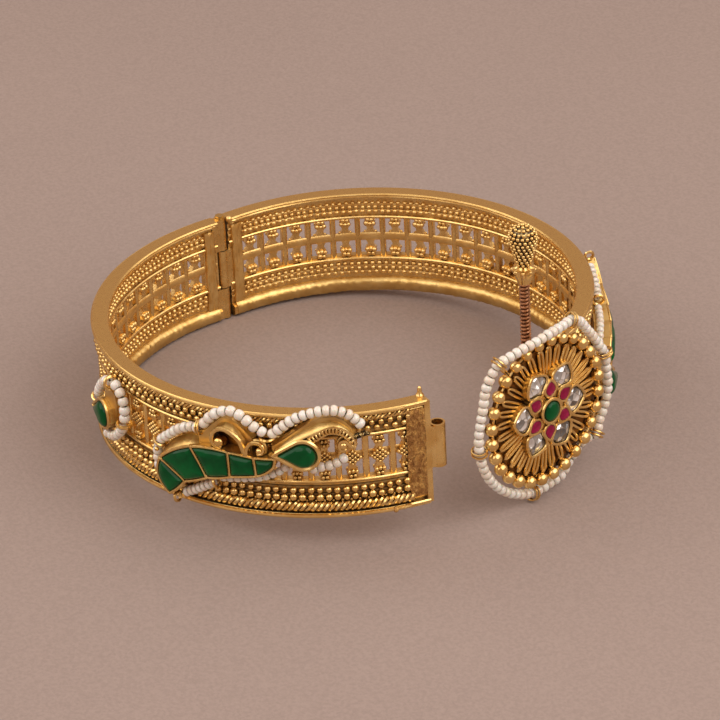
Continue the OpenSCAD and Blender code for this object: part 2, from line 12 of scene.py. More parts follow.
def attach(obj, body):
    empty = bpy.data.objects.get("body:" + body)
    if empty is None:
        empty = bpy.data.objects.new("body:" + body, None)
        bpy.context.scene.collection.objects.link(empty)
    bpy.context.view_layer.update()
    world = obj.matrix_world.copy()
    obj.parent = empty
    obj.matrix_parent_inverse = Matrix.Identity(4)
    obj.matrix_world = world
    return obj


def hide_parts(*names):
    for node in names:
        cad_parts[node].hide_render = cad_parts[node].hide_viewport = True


bl_info = {
    "name": "Kundan bangle",
    "version": (1, 0, 0),
    "blender": (4, 5, 0),
    "location": "3D View > Sidebar > Bangle",
    "description": "Dresses the hinged kundan bangle with stones, pearls, twisted wire and granulation",
    "category": "Object",
}

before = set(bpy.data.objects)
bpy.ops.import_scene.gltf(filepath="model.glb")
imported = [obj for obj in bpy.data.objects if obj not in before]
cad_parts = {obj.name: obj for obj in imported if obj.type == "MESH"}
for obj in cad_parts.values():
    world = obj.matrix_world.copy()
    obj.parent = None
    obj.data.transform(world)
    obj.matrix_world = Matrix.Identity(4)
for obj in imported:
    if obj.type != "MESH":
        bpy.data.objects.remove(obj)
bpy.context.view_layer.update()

MM = 0.001

# Sizes shared with the solids, in millimetres and degrees
RING_R = 33
RIM_IN_R = 30.7
WALL_R = 32.2
WALL_IN_R = 31.4
BAND_H = 16
BAR_PITCH = 6.7
BAR_START = 13.8
HINGE_X = -31.85
OPEN_DEG = 9.9
REACH = 63.5
CLASP_BACK_DEG = 3.3
SCREW_Z = 27.45
FACE_R = 35.3
POCKET_R = 34.4
SEAT_R = 33.1
ROSETTE_R = 33.9
ROSETTE_DEG = 8.9
ROSETTE_TURN = 4.4
FLOWER_SHIFT = (-0.3, 0.35)
FLOWER_TURN = -3
FLOWER_FACE = 0.85
COLUMNS = 24
GALLERY_Z = 8.75
ARMS = {
    # arm: where its rows start and end, which way its columns count, its end at the hinge, in degrees
    "front": (-174.2, -9.4, -1, -177.3),
    "back": (13.8, 174.2, 1, 177.3),
}
BEAD_RING_R = 10.5
BEAD_COUNT = 28
HOOK_R = 1.05
PETALS = 6


def length(name, description, millimetres):
    return FloatProperty(name=name, description=description, default=millimetres * MM,
                         min=0, unit="LENGTH", precision=5)


def colour(name, description, red, green, blue):
    return FloatVectorProperty(name=name, description=description, default=(red, green, blue),
                               min=0, max=1, size=3, subtype="COLOR")


class BangleSizes(bpy.types.PropertyGroup):
    """Sizes of the ornament that a maker would change"""
    rope_r: length("Lower rope", "Radius of the twisted wire over the lower rim", 0.78)
    fine_rope_r: length("Upper rope", "Radius of the twisted wire under the upper rim", 0.48)
    granule_r: length("Granules", "Radius of the granules on the gallery's columns", 0.28)
    pearl_r: length("Seed pearls", "Radius of a seed pearl", 0.75)
    pearl_step: length("Pearl step", "Distance from one seed pearl to the next", 1.15)
    edge_r: length("Stone edges", "Radius of the wire round a set stone", 0.22)
    hairpin_r: length("Hairpins", "Radius of the wires that fill the dish", 0.23)
    thread_step: length("Thread", "Distance from one turn of the screw's wire to the next", 0.56)
    hairpins: IntProperty(name="Hairpins", description="Number of wire hairpins in the dish",
                          default=32, min=8, max=48)


class BangleColours(bpy.types.PropertyGroup):
    """Colours of the finishes"""
    gold: colour("Gold", "Satin antique gold", 0.95, 0.68, 0.275)
    # recess: dark colour for the gold's oxide and stains and for the painted shade in its recesses
    recess: colour("Recesses", "Dark gold in the recesses", 0.075, 0.03, 0.008)
    green: colour("Green stones", "Foiled green glass", 0.0, 0.052, 0.012)
    ruby: colour("Ruby stones", "Foiled magenta glass", 0.22, 0.0015, 0.034)
    polki: colour("Clear stones", "Foiled clear glass", 0.93, 0.91, 0.87)
    pearl: colour("Seed pearls", "White seed pearls", 0.80, 0.765, 0.69)
    copper: colour("Screw's wire", "Brown copper", 0.62, 0.30, 0.15)
    floor: colour("Floor", "Mauve paper under the bangle", 0.315, 0.244, 0.212)


# Places

def polar(deg, z, r):
    """A point round an arm, from degrees, height and radius."""
    a = math.radians(deg)
    return np.array([r * math.cos(a), r * math.sin(a), z])


def unit(v):
    return v / max(np.linalg.norm(v), 1e-9)


class Place:
    """A spot with its own axes, in which drawings are set in millimetres."""

    def __init__(self, origin=(0, 0, 0), across=(1, 0, 0), up=(0, 1, 0), out=(0, 0, 1)):
        self.origin = np.asarray(origin, float)
        self.axes = np.array([across, up, out], float)

    def put(self, points):
        return np.asarray(points, float) @ self.axes + self.origin

    def within(self, other):
        """This place, itself set in another one."""
        origin = other.put(self.origin)
        return Place(origin, *(self.axes @ other.axes))


def turned(deg):
    """The axes of a place that is turned round z."""
    a = math.radians(deg)
    return (math.cos(a), math.sin(a), 0), (-math.sin(a), math.cos(a), 0), (0, 0, 1)


def spun(deg):
    return Place((0, 0, 0), *turned(deg))


def on_arm(deg, z=0, r=0, lean=None):
    """A place on an arm: x round it, y up and z outwards. lean turns it to another angle."""
    out, across, up = turned(deg if lean is None else lean)
    return Place(polar(deg, z, r), across, up, out)


def circle(r, count, z=0, shift=0):
    """Points round the z axis. shift turns them on by a share of a step."""
    angles = (np.arange(count) + shift) * 2 * math.pi / count
    return np.column_stack([r * np.cos(angles), r * np.sin(angles), np.full(count, z)])


class Stand:
    """Where pieces of one body stand, from their own drawing's frame."""

    def __init__(self, body, *places):
        self.body = body
        self.places = places

    def put(self, points):
        for place in self.places:
            points = place.put(points)
        return points


swing = turned(OPEN_DEG)
hinge = np.array([HINGE_X, 0, 0])
OPENED = Place(hinge - hinge @ np.array(swing), *swing)
HALF_TURN = Place((0, 0, BAND_H), (1, 0, 0), (0, -1, 0), (0, 0, -1))
ROSETTE = on_arm(ROSETTE_DEG, BAND_H / 2, ROSETTE_R, ROSETTE_TURN)
FLOWER = Place((*FLOWER_SHIFT, 0), *turned(FLOWER_TURN))
screw_a = math.radians(CLASP_BACK_DEG)
SCREW = Place((HINGE_X + REACH * math.cos(screw_a), REACH * math.sin(screw_a), SCREW_Z))

front = Stand("front_arm")
back = Stand("back_arm", OPENED)
back_turned = Stand("back_arm", HALF_TURN, OPENED)
rosette = Stand("back_arm", ROSETTE, OPENED)
flower = Stand("back_arm", FLOWER, ROSETTE, OPENED)
screw = Stand("screw", SCREW, OPENED)
BANDS = (("front", front), ("back", back))
CASTINGS = (("front", front), ("back", back_turned))


# Routes

def travel(line):
    """How far along a line each of its points lies."""
    return np.concatenate([[0], np.cumsum(np.linalg.norm(np.diff(line, axis=0), axis=1))])


def smooth_route(points, step, closed=False):
    """Evenly spaced points along a smooth curve through the given ones."""
    p = np.asarray(points, float)
    padded = np.vstack([p[-1:], p, p[:2]] if closed else [p[:1], p, p[-1:]])
    fine = []
    for a, b, c, d in zip(padded, padded[1:], padded[2:], padded[3:]):
        for t in np.linspace(0, 1, 16, endpoint=False):
            fine.append(0.5 * (2 * b + (c - a) * t + (2 * a - 5 * b + 4 * c - d) * t * t
                               + (3 * b - a - 3 * c + d) * t ** 3))
    fine = np.array([*fine, c])
    along = travel(fine)
    count = max(2, round(along[-1] / step))
    want = np.linspace(0, along[-1], count + 1)
    if closed:
        want = want[:-1]
    return np.column_stack([np.interp(want, along, fine[:, k]) for k in range(3)])


def arm_route(rows, step):
    """A smooth route round the arm through rows of degrees, height and radius."""
    route = smooth_route([[math.radians(d) * r, z, r] for d, z, r in rows], step)
    return np.array([polar(math.degrees(x / r), z, r) for x, z, r in route])


def along_of(route, closed):
    """The way that a route takes at each of its points."""
    if closed:
        return np.roll(route, -1, axis=0) - np.roll(route, 1, axis=0)
    padded = np.vstack([route[:1], route, route[-1:]])
    return padded[2:] - padded[:-2]


@functools.lru_cache
def ball_pattern(sides, rings):
    """Points and faces of a ball of radius one."""
    points = [(0, 0, -1)]
    for k in range(1, rings):
        a = math.pi * (k / rings - 0.5)
        points.extend(circle(math.cos(a), sides, math.sin(a)))
    points.append((0, 0, 1))
    last = len(points) - 1
    faces = []
    for i in range(sides):
        j = (i + 1) % sides
        faces.append((0, 1 + j, 1 + i))
        faces.append((last, last - sides + i, last - sides + j))
        for k in range(rings - 2):
            low = 1 + k * sides
            faces.append((low + i, low + j, low + sides + j, low + sides + i))
    return np.array(points), faces


class Shape:
    """Points in millimetres and faces, collected before they become one mesh."""

    def __init__(self):
        self.points = []
        self.faces = []
        self.count = 0

    def add(self, points, faces):
        self.points.append(np.asarray(points, float))
        self.faces.extend([tuple(i + self.count for i in face) for face in faces])
        self.count += len(points)

    def ball(self, centre, r, sides=10, rings=6):
        points, faces = ball_pattern(sides, rings)
        self.add(points * r + centre, faces)

    def rings(self, loops, closed=False, flip=False):
        """Joins loops of equally many points into a skin, with its ends closed by fans."""
        n = len(loops[0])
        m = len(loops)
        points = [p for loop in loops for p in loop]
        faces = []
        for k in range(m if closed else m - 1):
            a, b = k * n, (k + 1) % m * n
            for i in range(n):
                j = (i + 1) % n
                faces.append((a + i, a + j, b + j, b + i))
        if not closed:
            for k, order in ((0, -1), (m - 1, 1)):
                points.append(np.mean(loops[k], axis=0))
                hub = len(points) - 1
                for i in range(n):
                    pair = (k * n + i, k * n + (i + 1) % n)
                    faces.append((hub, *pair[::order]))
        if flip:
            faces = [face[::-1] for face in faces]
        self.add(points, faces)

    def tube(self, route, r, sides=8, closed=False, flat=1, up=None):
        """A wire along a route, with rounded ends unless it is closed. flat presses it along up."""
        route = np.asarray(route, float)
        along = along_of(route, closed)
        widths = np.broadcast_to(r, len(route))
        side = unit(np.cross(along[0], (0, 0, 1) if abs(unit(along[0])[2]) < 0.9 else (1, 0, 0)))
        frames = []
        for i, a in enumerate(along):
            a = unit(a)
            if up is not None:
                side = np.cross(a, up[i] if np.ndim(up) == 2 else up)
            side = unit(side - a * (side @ a))
            frames.append((side, np.cross(side, a)))
        twist = 0
        if closed and up is None:
            first, last = frames[0][0], frames[-1]
            twist = math.atan2(first @ last[1], first @ last[0])
        loops = []
        ends = [] if closed else [(0, -1), (len(route) - 1, 1)]
        for i, p in enumerate(route):
            turn = twist * i / len(route)
            angles = np.arange(sides) * 2 * math.pi / sides + turn
            across, over = frames[i]
            ring = (np.cos(angles)[:, None] * across + np.sin(angles)[:, None] * over * flat) * widths[i]
            if (i, -1) in ends:
                loops.append(p + ring * 0.6 - unit(along[i]) * widths[i] * 0.7)
            loops.append(p + ring)
            if (i, 1) in ends:
                loops.append(p + ring * 0.6 + unit(along[i]) * widths[i] * 0.7)
        self.rings(loops, closed, flip=True)

    def lathe(self, profile, place, sides, lobes=0, depth=None):
        """Turns a profile of radius and height round a place's z axis, with lobes as deep as depth says."""
        loops = []
        waves = np.cos(np.arange(sides) * 2 * math.pi / sides * lobes)
        for k, (r, z) in enumerate(profile):
            radius = r * (1 + (depth[k] if depth else 0) * waves)
            loops.append(place.put(circle(radius, sides, z)))
        self.rings(loops)

    def ring(self, profile, place, sides):
        """Turns a closed profile round a place's z axis, which leaves a hole through the middle."""
        turns = circle(1, sides)
        loops = [place.put([(r * x, r * y, z) for r, z in profile]) for x, y, flat in turns]
        self.rings(loops, closed=True)

    def dome(self, outline, steps, place):
        """A solid over an outline, in steps of how much it draws in towards its middle and its height."""
        flat = np.asarray(outline, float)
        middle = flat.mean(axis=0)
        loops = []
        for draw, z in steps:
            drawn = middle + (flat - middle) * (1 - draw)
            loops.append(place.put(np.column_stack([drawn, np.full(len(flat), z)])))
        self.rings(loops)


def resampled(rows, count):
    """The same line of degrees and height in evenly spaced steps."""
    line = np.asarray(rows, float)
    along = travel(line)
    want = np.linspace(0, along[-1], count)
    return np.column_stack([np.interp(want, along, line[:, k]) for k in range(2)])


def swell(shape, upper, lower, low_r, high_r):
    """A cove on an arm, from low_r at its upper edge up to high_r at a lip on its lower edge."""
    lip = 0.25
    loops = []
    for a, b in zip(resampled(upper, 40), resampled(lower, 40)):
        loop = []
        for t in np.linspace(0, 1, 7):
            spot = a + (b - a) * t
            loop.append(polar(*spot, low_r + (high_r - low_r) * math.sin(t * math.pi / 2) ** 1.5))
        for r in (high_r - lip, SEAT_R):
            loop.append(polar(*b, r))
        loop.append(polar(*a, SEAT_R))
        loops.append(np.array(loop))
    shape.rings(loops, flip=True)


def wire_on_arm(shape, rows, r, thick, end_thick):
    """A wire at one radius through rows of degrees and height."""
    route = arm_route([(deg, z, r) for deg, z in rows], 0.28)
    shape.tube(route, np.linspace(thick, end_thick, len(route)))


def hoop(shape, place, r, thick):
    """A ring of wire round a place's x axis."""
    shape.tube(place.put(np.roll(circle(r, 22), 1, axis=1)), thick, 6, True)


CREASE = math.radians(40)


def stood(name, data):
    """A new object in the scene."""
    made = bpy.data.objects.new(name, data)
    bpy.context.scene.collection.objects.link(made)
    return made


def mesh_of(name, shape, finish, place):
    mesh = bpy.data.meshes.new(name)
    points = place.put(np.vstack(shape.points)) * MM
    mesh.from_pydata(points.tolist(), [], shape.faces)
    mesh.materials.append(finishes[finish])
    return mesh


def piece(name, shape, finish, stand, *replaces):
    """Makes a mesh of a shape, where its body stands, and lets it ride there."""
    mesh = mesh_of(name, shape, finish, stand)
    mesh.shade_smooth()
    mesh.set_sharp_from_angle(angle=CREASE)
    mesh.validate()
    made = stood(name, mesh)
    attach(made, stand.body)
    if replaces:
        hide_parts(*replaces)


def node_material(name, finish):
    """Gives a carried-over node its finish."""
    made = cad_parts[name]
    if not made.material_slots:
        made.data.materials.append(finishes[finish])
    for slot in made.material_slots:
        slot.material = finishes[finish]


# Finishes

class Value:
    """A socket of a material's node, on which sums are written as plain expressions."""

    def __init__(self, recipe, socket):
        self.recipe = recipe
        self.socket = socket

    def sum(self, operation, *values):
        return self.recipe.node("ShaderNodeMath", {"operation": operation}, dict(enumerate(values)))

    def __add__(self, other):
        return self.sum("ADD", self, other)

    __radd__ = __add__

    def __sub__(self, other):
        return self.sum("SUBTRACT", self, other)

    def __rsub__(self, other):
        return self.sum("SUBTRACT", other, self)

    def __mul__(self, other):
        return self.sum("MULTIPLY", self, other)

    __rmul__ = __mul__

    def __truediv__(self, other):
        return self.sum("DIVIDE", self, other)

    def fade(self, low, high):
        """Nought at low and one at high, with soft ends."""
        return self.recipe.node("ShaderNodeMapRange", {"interpolation_type": "SMOOTHSTEP"},
                                {"Value": self, "From Min": low, "From Max": high})


class Recipe:
    """A material in the making."""

    def __init__(self, name):
        self.material = bpy.data.materials.new(name)
        self.material.use_nodes = True
        self.tree = self.material.node_tree
        self.shader = self.tree.nodes["Principled BSDF"]

    def node(self, kind, settings=None, sockets=None, out=0):
        made = self.tree.nodes.new(kind)
        for key, value in (settings or {}).items():
            setattr(made, key, value)
        for key, value in (sockets or {}).items():
            self.feed(made.inputs[key], value)
        return Value(self, made.outputs[out])

    def feed(self, socket, value):
        if isinstance(value, Value):
            self.tree.links.new(value.socket, socket)
        elif hasattr(value, "__len__") and len(socket.default_value) == 4:
            socket.default_value = (*value, 1)
        else:
            socket.default_value = value

    def spot(self):
        return self.node("ShaderNodeTexCoord", out="Object")

    def parts(self, vector):
        split = self.node("ShaderNodeSeparateXYZ", sockets={0: vector})
        return [Value(self, socket) for socket in split.socket.node.outputs]

    def noise(self, size_mm, detail=3, rough=0.5):
        return self.node("ShaderNodeTexNoise", {},
                         {"Vector": self.spot(), "Scale": 1 / (size_mm * MM), "Detail": detail,
                          "Roughness": rough}, "Fac")

    def cells(self, size_mm, feature="F1", out="Distance"):
        return self.node("ShaderNodeTexVoronoi", {"feature": feature},
                         {"Vector": self.spot(), "Scale": 1 / (size_mm * MM)}, out)

    def mix(self, factor, first, second):
        return self.node("ShaderNodeMix", {"data_type": "RGBA"}, {0: factor, 6: first, 7: second}, out=2)

    def recess(self, reach_mm):
        """One in the open and nought in deep recesses: the ambient occlusion from which painted shade is
        made.
        """
        return self.node("ShaderNodeAmbientOcclusion", {"samples": 8}, {"Distance": reach_mm * MM}, out="AO")

    def depth(self, reach_mm, low, high):
        """How much painted shade a spot gets: one in deep recesses and nought in the open."""
        return 1 - self.recess(reach_mm).fade(low, high)

    def bump(self, height, depth_mm):
        return self.node("ShaderNodeBump", {}, {"Height": height, "Distance": depth_mm * MM, "Strength": 1.0})

    def per_bead(self):
        return self.node("ShaderNodeNewGeometry", out="Random Per Island")

    def finish(self, **sockets):
        for key, value in sockets.items():
            self.feed(self.shader.inputs[key.replace("_", " ")], value)
        return self.material


def toned(tone, *shares):
    """A colour with its red, green and blue multiplied by one share, or each by its own."""
    return tuple(np.minimum(np.array(tone) * shares, 1))


def gold_finish(colours, name, reach_mm, rough, grain, brown, *shares):
    """Satin antique gold, darker and less bright down in its recesses: oxide there and painted shade."""
    recipe = Recipe(name)
    # dark: painted shade in the recesses, also standing for oxide there; brown sets how strong it is
    dark = recipe.depth(reach_mm, 0.05, 0.7) * brown
    clouds = recipe.noise(2.2, 4)
    fine = recipe.noise(0.25, 3, 0.6)
    worn = toned(colours.gold, *shares)
    body = recipe.mix(clouds.fade(0.35, 0.7), toned(worn, 0.86, 0.78, 0.66), worn)
    tint = recipe.mix(dark.fade(0.0, 0.9), body, colours.recess)
    return recipe.finish(Base_Color=tint, Metallic=1 - dark * 0.3,
                         Roughness=fine * 0.14 + dark * 0.2 + (rough - 0.07),
                         Normal=recipe.bump(fine, grain))


def between(value, low, high):
    """One between two pairs of heights in millimetres, with soft edges."""
    return value.fade(low[0] * MM, low[1] * MM) * (1 - value.fade(high[0] * MM, high[1] * MM))


def band_finish(colours, name, middle):
    """The bands' gold: cast and a little rough, with flat rims rubbed plain and given a darker tone as
    painted shade, and painted shade in its recesses, round the arm's own middle.
    """
    recipe = Recipe(name)
    x, y, z = recipe.parts(recipe.spot())
    x = x - float(middle[0]) * MM
    y = y - float(middle[1]) * MM
    clouds = recipe.noise(2.4, 4)
    fine = recipe.noise(0.22, 3, 0.6)
    cast = recipe.noise(0.8, 5, 0.7)
    rim = z.fade(15.86 * MM, 15.98 * MM)
    # dark: painted shade in the recesses, also standing for oxide there
    dark = recipe.depth(0.8, 0.05, 0.75) * (1 - rim)
    away = (x * x + y * y) / (WALL_R * MM) ** 2
    out = away.fade(0.985, 0.995) * (1 - away.fade(1.014, 1.022))
    low = between(z, (1.0, 1.3), (4.75, 4.85))
    high = between(z, (12.6, 12.7), (15.1, 15.2))
    # the grounds of the granule rows are painted dark: oxide, and painted shade between the granules
    dark = dark + (1 - dark) * ((low + high) * out) * 0.65
    worn = colours.gold
    body = recipe.mix(clouds.fade(0.35, 0.7), toned(worn, 0.84, 0.74, 0.6), worn)
    # the flat rims' tops get a darker tone as painted shade
    body = recipe.mix(rim, body, toned(worn, 0.86, 0.79, 0.66))
    tint = recipe.mix(dark, body, colours.recess)
    return recipe.finish(Base_Color=tint, Metallic=1 - dark * 0.3,
                         Roughness=cast * 0.16 + dark * 0.2 + 0.2,
                         Normal=recipe.bump(fine * 0.25 + cast * (1 - rim * 0.85), 0.05))


def stained_finish(colours):
    """Soldered gold, rough and stained brown in patches, with painted shade in its recesses."""
    recipe = Recipe("stained_gold")
    patches = recipe.noise(0.75, 4, 0.7)
    fine = recipe.noise(0.3, 5, 0.75)
    worn = colours.gold
    tint = recipe.mix(patches.fade(0.34, 0.6), toned(worn, 0.9, 0.78, 0.62), toned(worn, 0.5, 0.36, 0.3))
    tint = recipe.mix(fine.fade(0.52, 0.66) * 0.7, tint, colours.recess)
    # painted shade in the recesses
    tint = recipe.mix(recipe.depth(0.5, 0.1, 0.7), tint, colours.recess)
    return recipe.finish(Base_Color=tint, Metallic=0.95, Roughness=fine * 0.3 + 0.26,
                         Normal=recipe.bump(fine, 0.16))


def rising(recipe):
    """Nought at a stone's foot and one at its top, up the bangle."""
    box = recipe.node("ShaderNodeTexCoord", out="Generated")
    return recipe.parts(box)[2]


def green_finish(colours):
    """Clear green glass over foil, with painted light that makes it brighter towards the foot, where the
    light comes back, and painted shade in its recesses.
    """
    recipe = Recipe("green_foiled_glass")
    clouds = recipe.noise(1.9, 2)
    # painted light: brighter towards the stone's foot, mixed with clouds of tone
    painted_light_and_tone = (1 - rising(recipe).fade(0.0, 0.75)) * 0.75 + clouds.fade(0.4, 0.75) * 0.3
    body = recipe.mix(painted_light_and_tone, colours.green, toned(colours.green, 1, 2.6, 2.4))
    # painted shade in the recesses round the stone's edge
    body = recipe.mix(recipe.depth(0.7, 0.35, 0.95), body, (0, 0.008, 0.002))
    return recipe.finish(Base_Color=body, Metallic=0.0, Roughness=recipe.noise(0.5, 3) * 0.06 + 0.05,
                         Coat_Weight=0.06, Coat_Roughness=0.03, Specular_IOR_Level=0.16,
                         Normal=recipe.bump(recipe.noise(1.3, 2), 0.05))


def ruby_finish(colours):
    """Magenta glass over foil, with painted light brighter towards its foot and painted shade in its
    recesses.
    """
    recipe = Recipe("ruby_foiled_glass")
    clouds = recipe.noise(0.7, 3, 0.6)
    # painted light: brighter towards the stone's foot, mixed with clouds of tone
    painted_light_and_tone = (1 - rising(recipe).fade(0.1, 0.8)) * 0.5 + clouds.fade(0.4, 0.7) * 0.5
    body = recipe.mix(painted_light_and_tone, colours.ruby, toned(colours.ruby, 1.9, 4, 2.4))
    # painted shade in the recesses round the stone's edge
    body = recipe.mix(recipe.depth(0.5, 0.35, 0.95), body, (0.03, 0.0, 0.006))
    return recipe.finish(Base_Color=body, Metallic=0.2, Roughness=recipe.noise(0.4, 3) * 0.08 + 0.1,
                         Coat_Weight=0.15, Coat_Roughness=0.04, Specular_IOR_Level=0.3,
                         Normal=recipe.bump(recipe.noise(0.6, 2), 0.03))


def polki_finish(colours):
    """Clear glass over bright foil, crumpled into facets, each painted lighter or darker as a painted
    reflection, with painted shade in its creases and recesses.
    """
    recipe = Recipe("polki_foiled_glass")
    facets = recipe.cells(1.1)
    # each facet painted lighter or darker: painted reflections
    tone = recipe.parts(recipe.cells(1.1, out="Color"))[0]
    painted_crease_shade = recipe.cells(1.1, "DISTANCE_TO_EDGE")
    body = recipe.mix(tone.fade(0.1, 0.5), toned(colours.polki, 0.18), colours.polki)
    # painted shade along the creases between the facets
    body = recipe.mix(painted_crease_shade.fade(0.0, 0.05), (0.3, 0.26, 0.22), body)
    # painted shade in the recesses
    body = recipe.mix(recipe.depth(0.45, 0.2, 0.8), body, (0.1, 0.07, 0.05))
    return recipe.finish(Base_Color=body, Metallic=0.6, Roughness=tone * 0.1 + 0.06,
                         Coat_Weight=0.9, Coat_Roughness=0.03, Normal=recipe.bump(facets, 0.7))


def pearl_finish(colours):
    """Seed pearls, each a little different in tint, with painted shade where they meet."""
    recipe = Recipe("seed_pearl")
    creamy = toned(colours.pearl, 0.97, 0.9, 0.82)
    body = recipe.mix(recipe.per_bead().fade(0.1, 0.9), colours.pearl, creamy)
    # painted shade between the pearls
    body = recipe.mix(recipe.depth(0.6, 0.1, 0.8), body, toned(creamy, 0.42, 0.36, 0.28))
    return recipe.finish(Base_Color=body, Roughness=recipe.noise(0.5) * 0.1 + 0.12, Coat_Weight=1.0,
                         Coat_Roughness=0.03, Subsurface_Weight=0.15, Subsurface_Scale=0.5 * MM,
                         Normal=recipe.bump(recipe.noise(0.6, 2), 0.015))


def copper_finish(colours):
    """Brown copper wire, with painted shade between its turns."""
    recipe = Recipe("brown_copper")
    stain = recipe.noise(0.9, 4)
    body = recipe.mix(stain.fade(0.35, 0.65), toned(colours.copper, 0.55), colours.copper)
    # painted shade between the turns
    tint = recipe.mix(recipe.depth(0.35, 0.15, 0.75), body, toned(colours.copper, 0.1))
    return recipe.finish(Base_Color=tint, Metallic=0.95, Roughness=stain * 0.16 + 0.2,
                         Normal=recipe.bump(recipe.noise(0.3, 3), 0.012))


def tarnish_finish(colours):
    """Blackened wire."""
    recipe = Recipe("blackened_wire")
    worn = recipe.noise(0.4, 3)
    tint = recipe.mix(worn.fade(0.45, 0.7), (0.06, 0.045, 0.03), toned(colours.gold, 0.6))
    return recipe.finish(Base_Color=tint, Metallic=0.9, Roughness=worn * 0.2 + 0.25)


def floor_finish(colours):
    """Mauve paper with a fine woven grain."""
    recipe = Recipe("mauve_paper")
    grain = recipe.noise(0.55, 3, 0.65)
    mottle = grain.fade(0.3, 0.7) * 0.7 + recipe.noise(45, 2) * 0.3
    body = recipe.mix(mottle, toned(colours.floor, 0.9), toned(colours.floor, 1.1))
    return recipe.finish(Base_Color=body, Roughness=0.85, Specular_IOR_Level=0.2,
                         Normal=recipe.bump(grain, 0.08))


GOLDS = {
    # finish: material, reach of its recesses in mm, roughness, depth of its grain in mm, how brown its
    # recesses are (oxide and painted shade), shares
    "gold": ("antique_gold", 0.8, 0.26, 0.01, 1.0, 1),
    "wire": ("gold_wire", 0.6, 0.22, 0.005, 0.9, 1),
    "bead": ("bead_gold", 0.6, 0.24, 0.008, 1.0, 1),
    "satin": ("satin_gold", 1.0, 0.36, 0.012, 0.9, 0.78, 0.77, 0.74),
    "edge": ("edge_gold", 0.25, 0.24, 0.005, 0.35, 1),
    "inside": ("soft_gold", 0.5, 0.38, 0.03, 0.3, 1),
    # the dark finish is a dark copy of the gold: painted shade in hollows and gaps, also standing for oxide
    "dark": ("oxidised_gold", 1.6, 0.38, 0.02, 1.1, 0.3, 0.21, 0.14),
}
OTHERS = {
    "stained": stained_finish,
    "green": green_finish,
    "ruby": ruby_finish,
    "polki": polki_finish,
    "pearl": pearl_finish,
    "copper": copper_finish,
    "tarnish": tarnish_finish,
    "floor": floor_finish,
}
finishes = {}


def make_finishes(colours):
    finishes["front_band"] = band_finish(colours, "front_band_gold", (0, 0))
    finishes["back_band"] = band_finish(colours, "back_band_gold", OPENED.origin)
    for key, settings in GOLDS.items():
        finishes[key] = gold_finish(colours, *settings)
    for key, make in OTHERS.items():
        finishes[key] = make(colours)


# Drawings of the casting, shared with the solids

FEATHER = [
    # upper end: degrees, height, lower end: degrees, height, bows of the upper and lower edges after it
    (-68, 2.0, -68, 2.0, 1.3, 0.15),
    (-70, 7.3, -63.4, 4.7, 0.35, 0.1),
    (-61.2, 10.5, -57.5, 6.2, 0.2, 0.15),
    (-52, 10.7, -51.8, 7.0, 0.0, 0.05),
    (-46, 10.3, -45.6, 7.6, -0.05, 0.25),
    (-41.2, 10.4, -41.6, 9.2, 0, 0),
]
DROP = (-34.9, 11.2, 1.9, 3.7)
LEAF = (-94, 7.8, 1.95, 3.1)
LEAF_FACE_R = 34.7
STRINGS = [
    # distance from pearl to pearl, radius of a pearl, radius of the arm, then degrees and height
    (1.1, 0.74, 34.2, [(-71.2, 9.3), (-68.5, 10.6), (-65.6, 11.9), (-62.8, 12.7), (-60.6, 12.9)]),
    (1.24, 0.76, 34.4, [(-58.3, 14), (-56.4, 15.3), (-53.8, 16.3), (-51, 16.6), (-48.6, 15.9), (-46.2, 14.7),
                        (-44.2, 14)]),
    (1.05, 0.77, 34.4, [(-41.8, 13.8), (-39.4, 15), (-36.4, 16.3), (-33.2, 17), (-30, 17.4), (-27, 17.3),
                        (-24.2, 16.5), (-22, 15.1)]),
    (1.0, 0.72, 34.1, [(-72.4, 8.2), (-73.05, 6.6), (-72.9, 5)]),
    (0.9, 0.74, 34, [(-64.8, 2.2), (-62.4, 2.9), (-60, 3.8), (-57.4, 4.7)]),
    (1.05, 0.58, 33.9, [(-54.6, 5.75), (-50, 6.1), (-45.4, 6.6), (-41.6, 7.5), (-39.4, 8.4)]),
    (1.1, 0.7, 33.9, [(-33, 8.3), (-30.6, 8.6), (-28.2, 8.9), (-26, 9.7)]),
]
LEAF_STRINGS = [
    (1.1, 0.75, 34, [(-99.6, 9.4), (-97.2, 11.2), (-94.4, 12.6), (-91.8, 13.4)]),
    (1.2, 0.78, 34, [(-88.2, 13.6), (-86, 12.6), (-85, 11), (-85.2, 9.2)]),
    (1.15, 0.76, 34, [(-86.6, 7.2), (-88.8, 5.8), (-91.6, 4.8), (-94.6, 4.4)]),
]
COVES = [
    # radius of the arm at the upper edge and at the lower one, then degrees and height along both edges
    (33.9, 35.35,
     [(-41.3, 12), (-40, 12.9), (-37.5, 14), (-34.4, 15.1), (-31.1, 16), (-28.3, 16.3), (-26, 15.8),
      (-24.2, 14.9), (-23, 13.8)],
     [(-41, 11.4), (-39.4, 12.1), (-36.6, 13.2), (-33.8, 13.9), (-31.6, 14.6), (-29.3, 15.2), (-27.2, 15.2),
      (-25.2, 14.5), (-23.7, 13.4)]),
    (33.9, 35.2,
     [(-57.6, 11.6), (-56.8, 13), (-55, 14.3), (-52.8, 15), (-51, 14.7), (-49.4, 13.7), (-48, 12.5),
      (-47.4, 11)],
     [(-56, 11.6), (-55.7, 12.8), (-54.4, 13.8), (-52.6, 14), (-51, 13.6), (-49.6, 12.8), (-48.7, 11.8),
      (-48.2, 10.6)]),
    (33.7, 35.25,
     [(-71.4, 7.6), (-69.4, 9), (-66.6, 10.3), (-64.2, 11.1), (-62, 11.4), (-60, 11.2), (-57.6, 10.9)],
     [(-70.2, 7.3), (-68, 8.4), (-65.6, 9.3), (-63.4, 10), (-61.4, 10.45), (-59.6, 10.5), (-57.6, 10.5)]),
]
